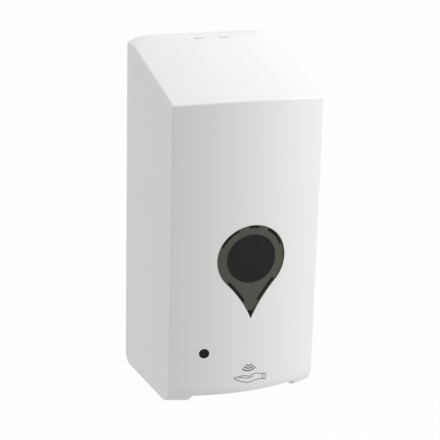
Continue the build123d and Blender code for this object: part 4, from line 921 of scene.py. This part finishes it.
def seen_rays(tree):
    """1 for a ray from the camera, off a gloss or through a clear piece, and otherwise 0."""
    rays = add_node(tree, "ShaderNodeLightPath").outputs
    direct = add_node(
        tree,
        "ShaderNodeMath",
        {"operation": "MAXIMUM"},
        {0: rays["Is Camera Ray"], 1: rays["Is Transmission Ray"]},
    )
    both = add_node(
        tree,
        "ShaderNodeMath",
        {"operation": "MAXIMUM"},
        {0: direct.outputs[0], 1: rays["Is Glossy Ray"]},
    )
    return both.outputs[0]


print("floor and world tell the camera's rays from the others")

# %% [markdown]
# ## A paper floor
#
# The floor lies below the reach of the open cover. To the camera it is nearly white by itself; to
# the object it is an ordinary pale surface, which lights the underside softly.

# %% Floor
FLOOR_Z = -0.16
FLOOR_SIZE = 12.0
WHITE_SHARE = 0.98
bpy.ops.mesh.primitive_plane_add(size=FLOOR_SIZE, location=(0, 0, FLOOR_Z))
floor = bpy.context.active_object
floor.name = "studio_floor"
# Matt studio paper
studio_paper = bpy.data.materials.new("white_studio_paper")
studio_paper.use_nodes = True
tree = studio_paper.node_tree
tree.nodes.clear()
paper = add_node(tree, "ShaderNodeBsdfDiffuse", inputs={"Color": linear("D8D8D8")})
glow = add_node(
    tree, "ShaderNodeEmission", inputs={"Color": linear("FFFFFF"), "Strength": 1.0}
)
share = add_node(
    tree, "ShaderNodeMath", {"operation": "MULTIPLY"}, {0: seen_rays(tree), 1: WHITE_SHARE}
)
blend = add_node(
    tree,
    "ShaderNodeMixShader",
    inputs={0: share.outputs[0], 1: paper.outputs[0], 2: glow.outputs[0]},
)
add_node(tree, "ShaderNodeOutputMaterial", inputs={"Surface": blend.outputs[0]})
floor.data.materials.append(studio_paper)
print("floor at", FLOOR_Z, "m,", FLOOR_SIZE, "m wide")

# %% [markdown]
# ## Light from all round
#
# The world fills the shadows with an even light, as the white walls of a studio do. Its strength
# and the power of the lamps were set together, by comparing how bright each face of the cover is.

# %% World
FILL_STRENGTH = 0.46
world = bpy.data.worlds.new("studio_air")
bpy.context.scene.world = world
world.use_nodes = True
tree = world.node_tree
tree.nodes.clear()
strength = add_node(
    tree,
    "ShaderNodeMapRange",
    inputs={"Value": seen_rays(tree), "To Min": FILL_STRENGTH, "To Max": 1.0},
)
air = add_node(
    tree,
    "ShaderNodeBackground",
    inputs={"Color": linear("FFFFFF"), "Strength": strength.outputs["Result"]},
)
add_node(tree, "ShaderNodeOutputWorld", inputs={"Surface": air.outputs[0]})
print("the world lights the object by a strength of", FILL_STRENGTH)

# %% [markdown]
# ## Lamps
#
# The key light comes from the upper right, because the front's right half is the brighter one. A
# lamp above brightens the sloping top and a weak one at the left keeps the side from going grey.
# All are large, because small lamps would draw hard highlights on the gloss.

# %% Lamps
AIM = Vector((0, -0.06, 0.14))


def soft_lamp(name, place, size, power):
    """Square area lamp at a place, turned to the dispenser; size in metres, power in watts."""
    lamp = bpy.data.lights.new(name, "AREA")
    lamp.size = size
    lamp.energy = power
    holder = bpy.data.objects.new(name, lamp)
    bpy.context.scene.collection.objects.link(holder)
    holder.location = place
    holder.rotation_euler = (AIM - Vector(place)).to_track_quat("-Z", "Y").to_euler()
    print(name, power, "W")


soft_lamp("key_right", (1.35, -0.85, 0.75), 0.9, 15.7)
soft_lamp("top_fill", (0.0, -0.06, 1.4), 0.9, 4.8)
soft_lamp("left_fill", (-1.3, 0.1, 0.4), 0.8, 2.3)

# %% [markdown]
# ## Camera
#
# The camera's direction, distance and focal length were found by fitting the photograph's edges.
# The picture leans by about a degree and a half, so the camera is rolled by as much.

# %% Camera
AZIMUTH = math.radians(-24.1)
ELEVATION = math.radians(16.58)
ROLL = math.radians(1.48)
DISTANCE = 1081.8 * MM
TARGET = Vector((-5.11 * MM, -60 * MM, 135.06 * MM))
IMAGE_PIXELS = 440
FOCAL_PIXELS = 1365.1
SENSOR_MM = 36.0

back = Vector(
    (
        math.sin(AZIMUTH) * math.cos(ELEVATION),
        -math.cos(AZIMUTH) * math.cos(ELEVATION),
        math.sin(ELEVATION),
    )
)
right = (-back).cross(Vector((0, 0, 1))).normalized()
up = right.cross(-back)
rolled_right = math.cos(ROLL) * right + math.sin(ROLL) * up
rolled_up = -math.sin(ROLL) * right + math.cos(ROLL) * up
camera_data = bpy.data.cameras.new("studio_camera")
camera_data.sensor_width = SENSOR_MM
camera_data.lens = FOCAL_PIXELS * SENSOR_MM / IMAGE_PIXELS
camera = bpy.data.objects.new("studio_camera", camera_data)
bpy.context.scene.collection.objects.link(camera)
turn = Matrix((rolled_right, rolled_up, back)).transposed()
camera.matrix_world = Matrix.Translation(TARGET + back * DISTANCE) @ turn.to_4x4()
bpy.context.scene.camera = camera
bpy.context.scene.view_settings.view_transform = "Standard"
print("lens in mm:", round(camera_data.lens, 1))
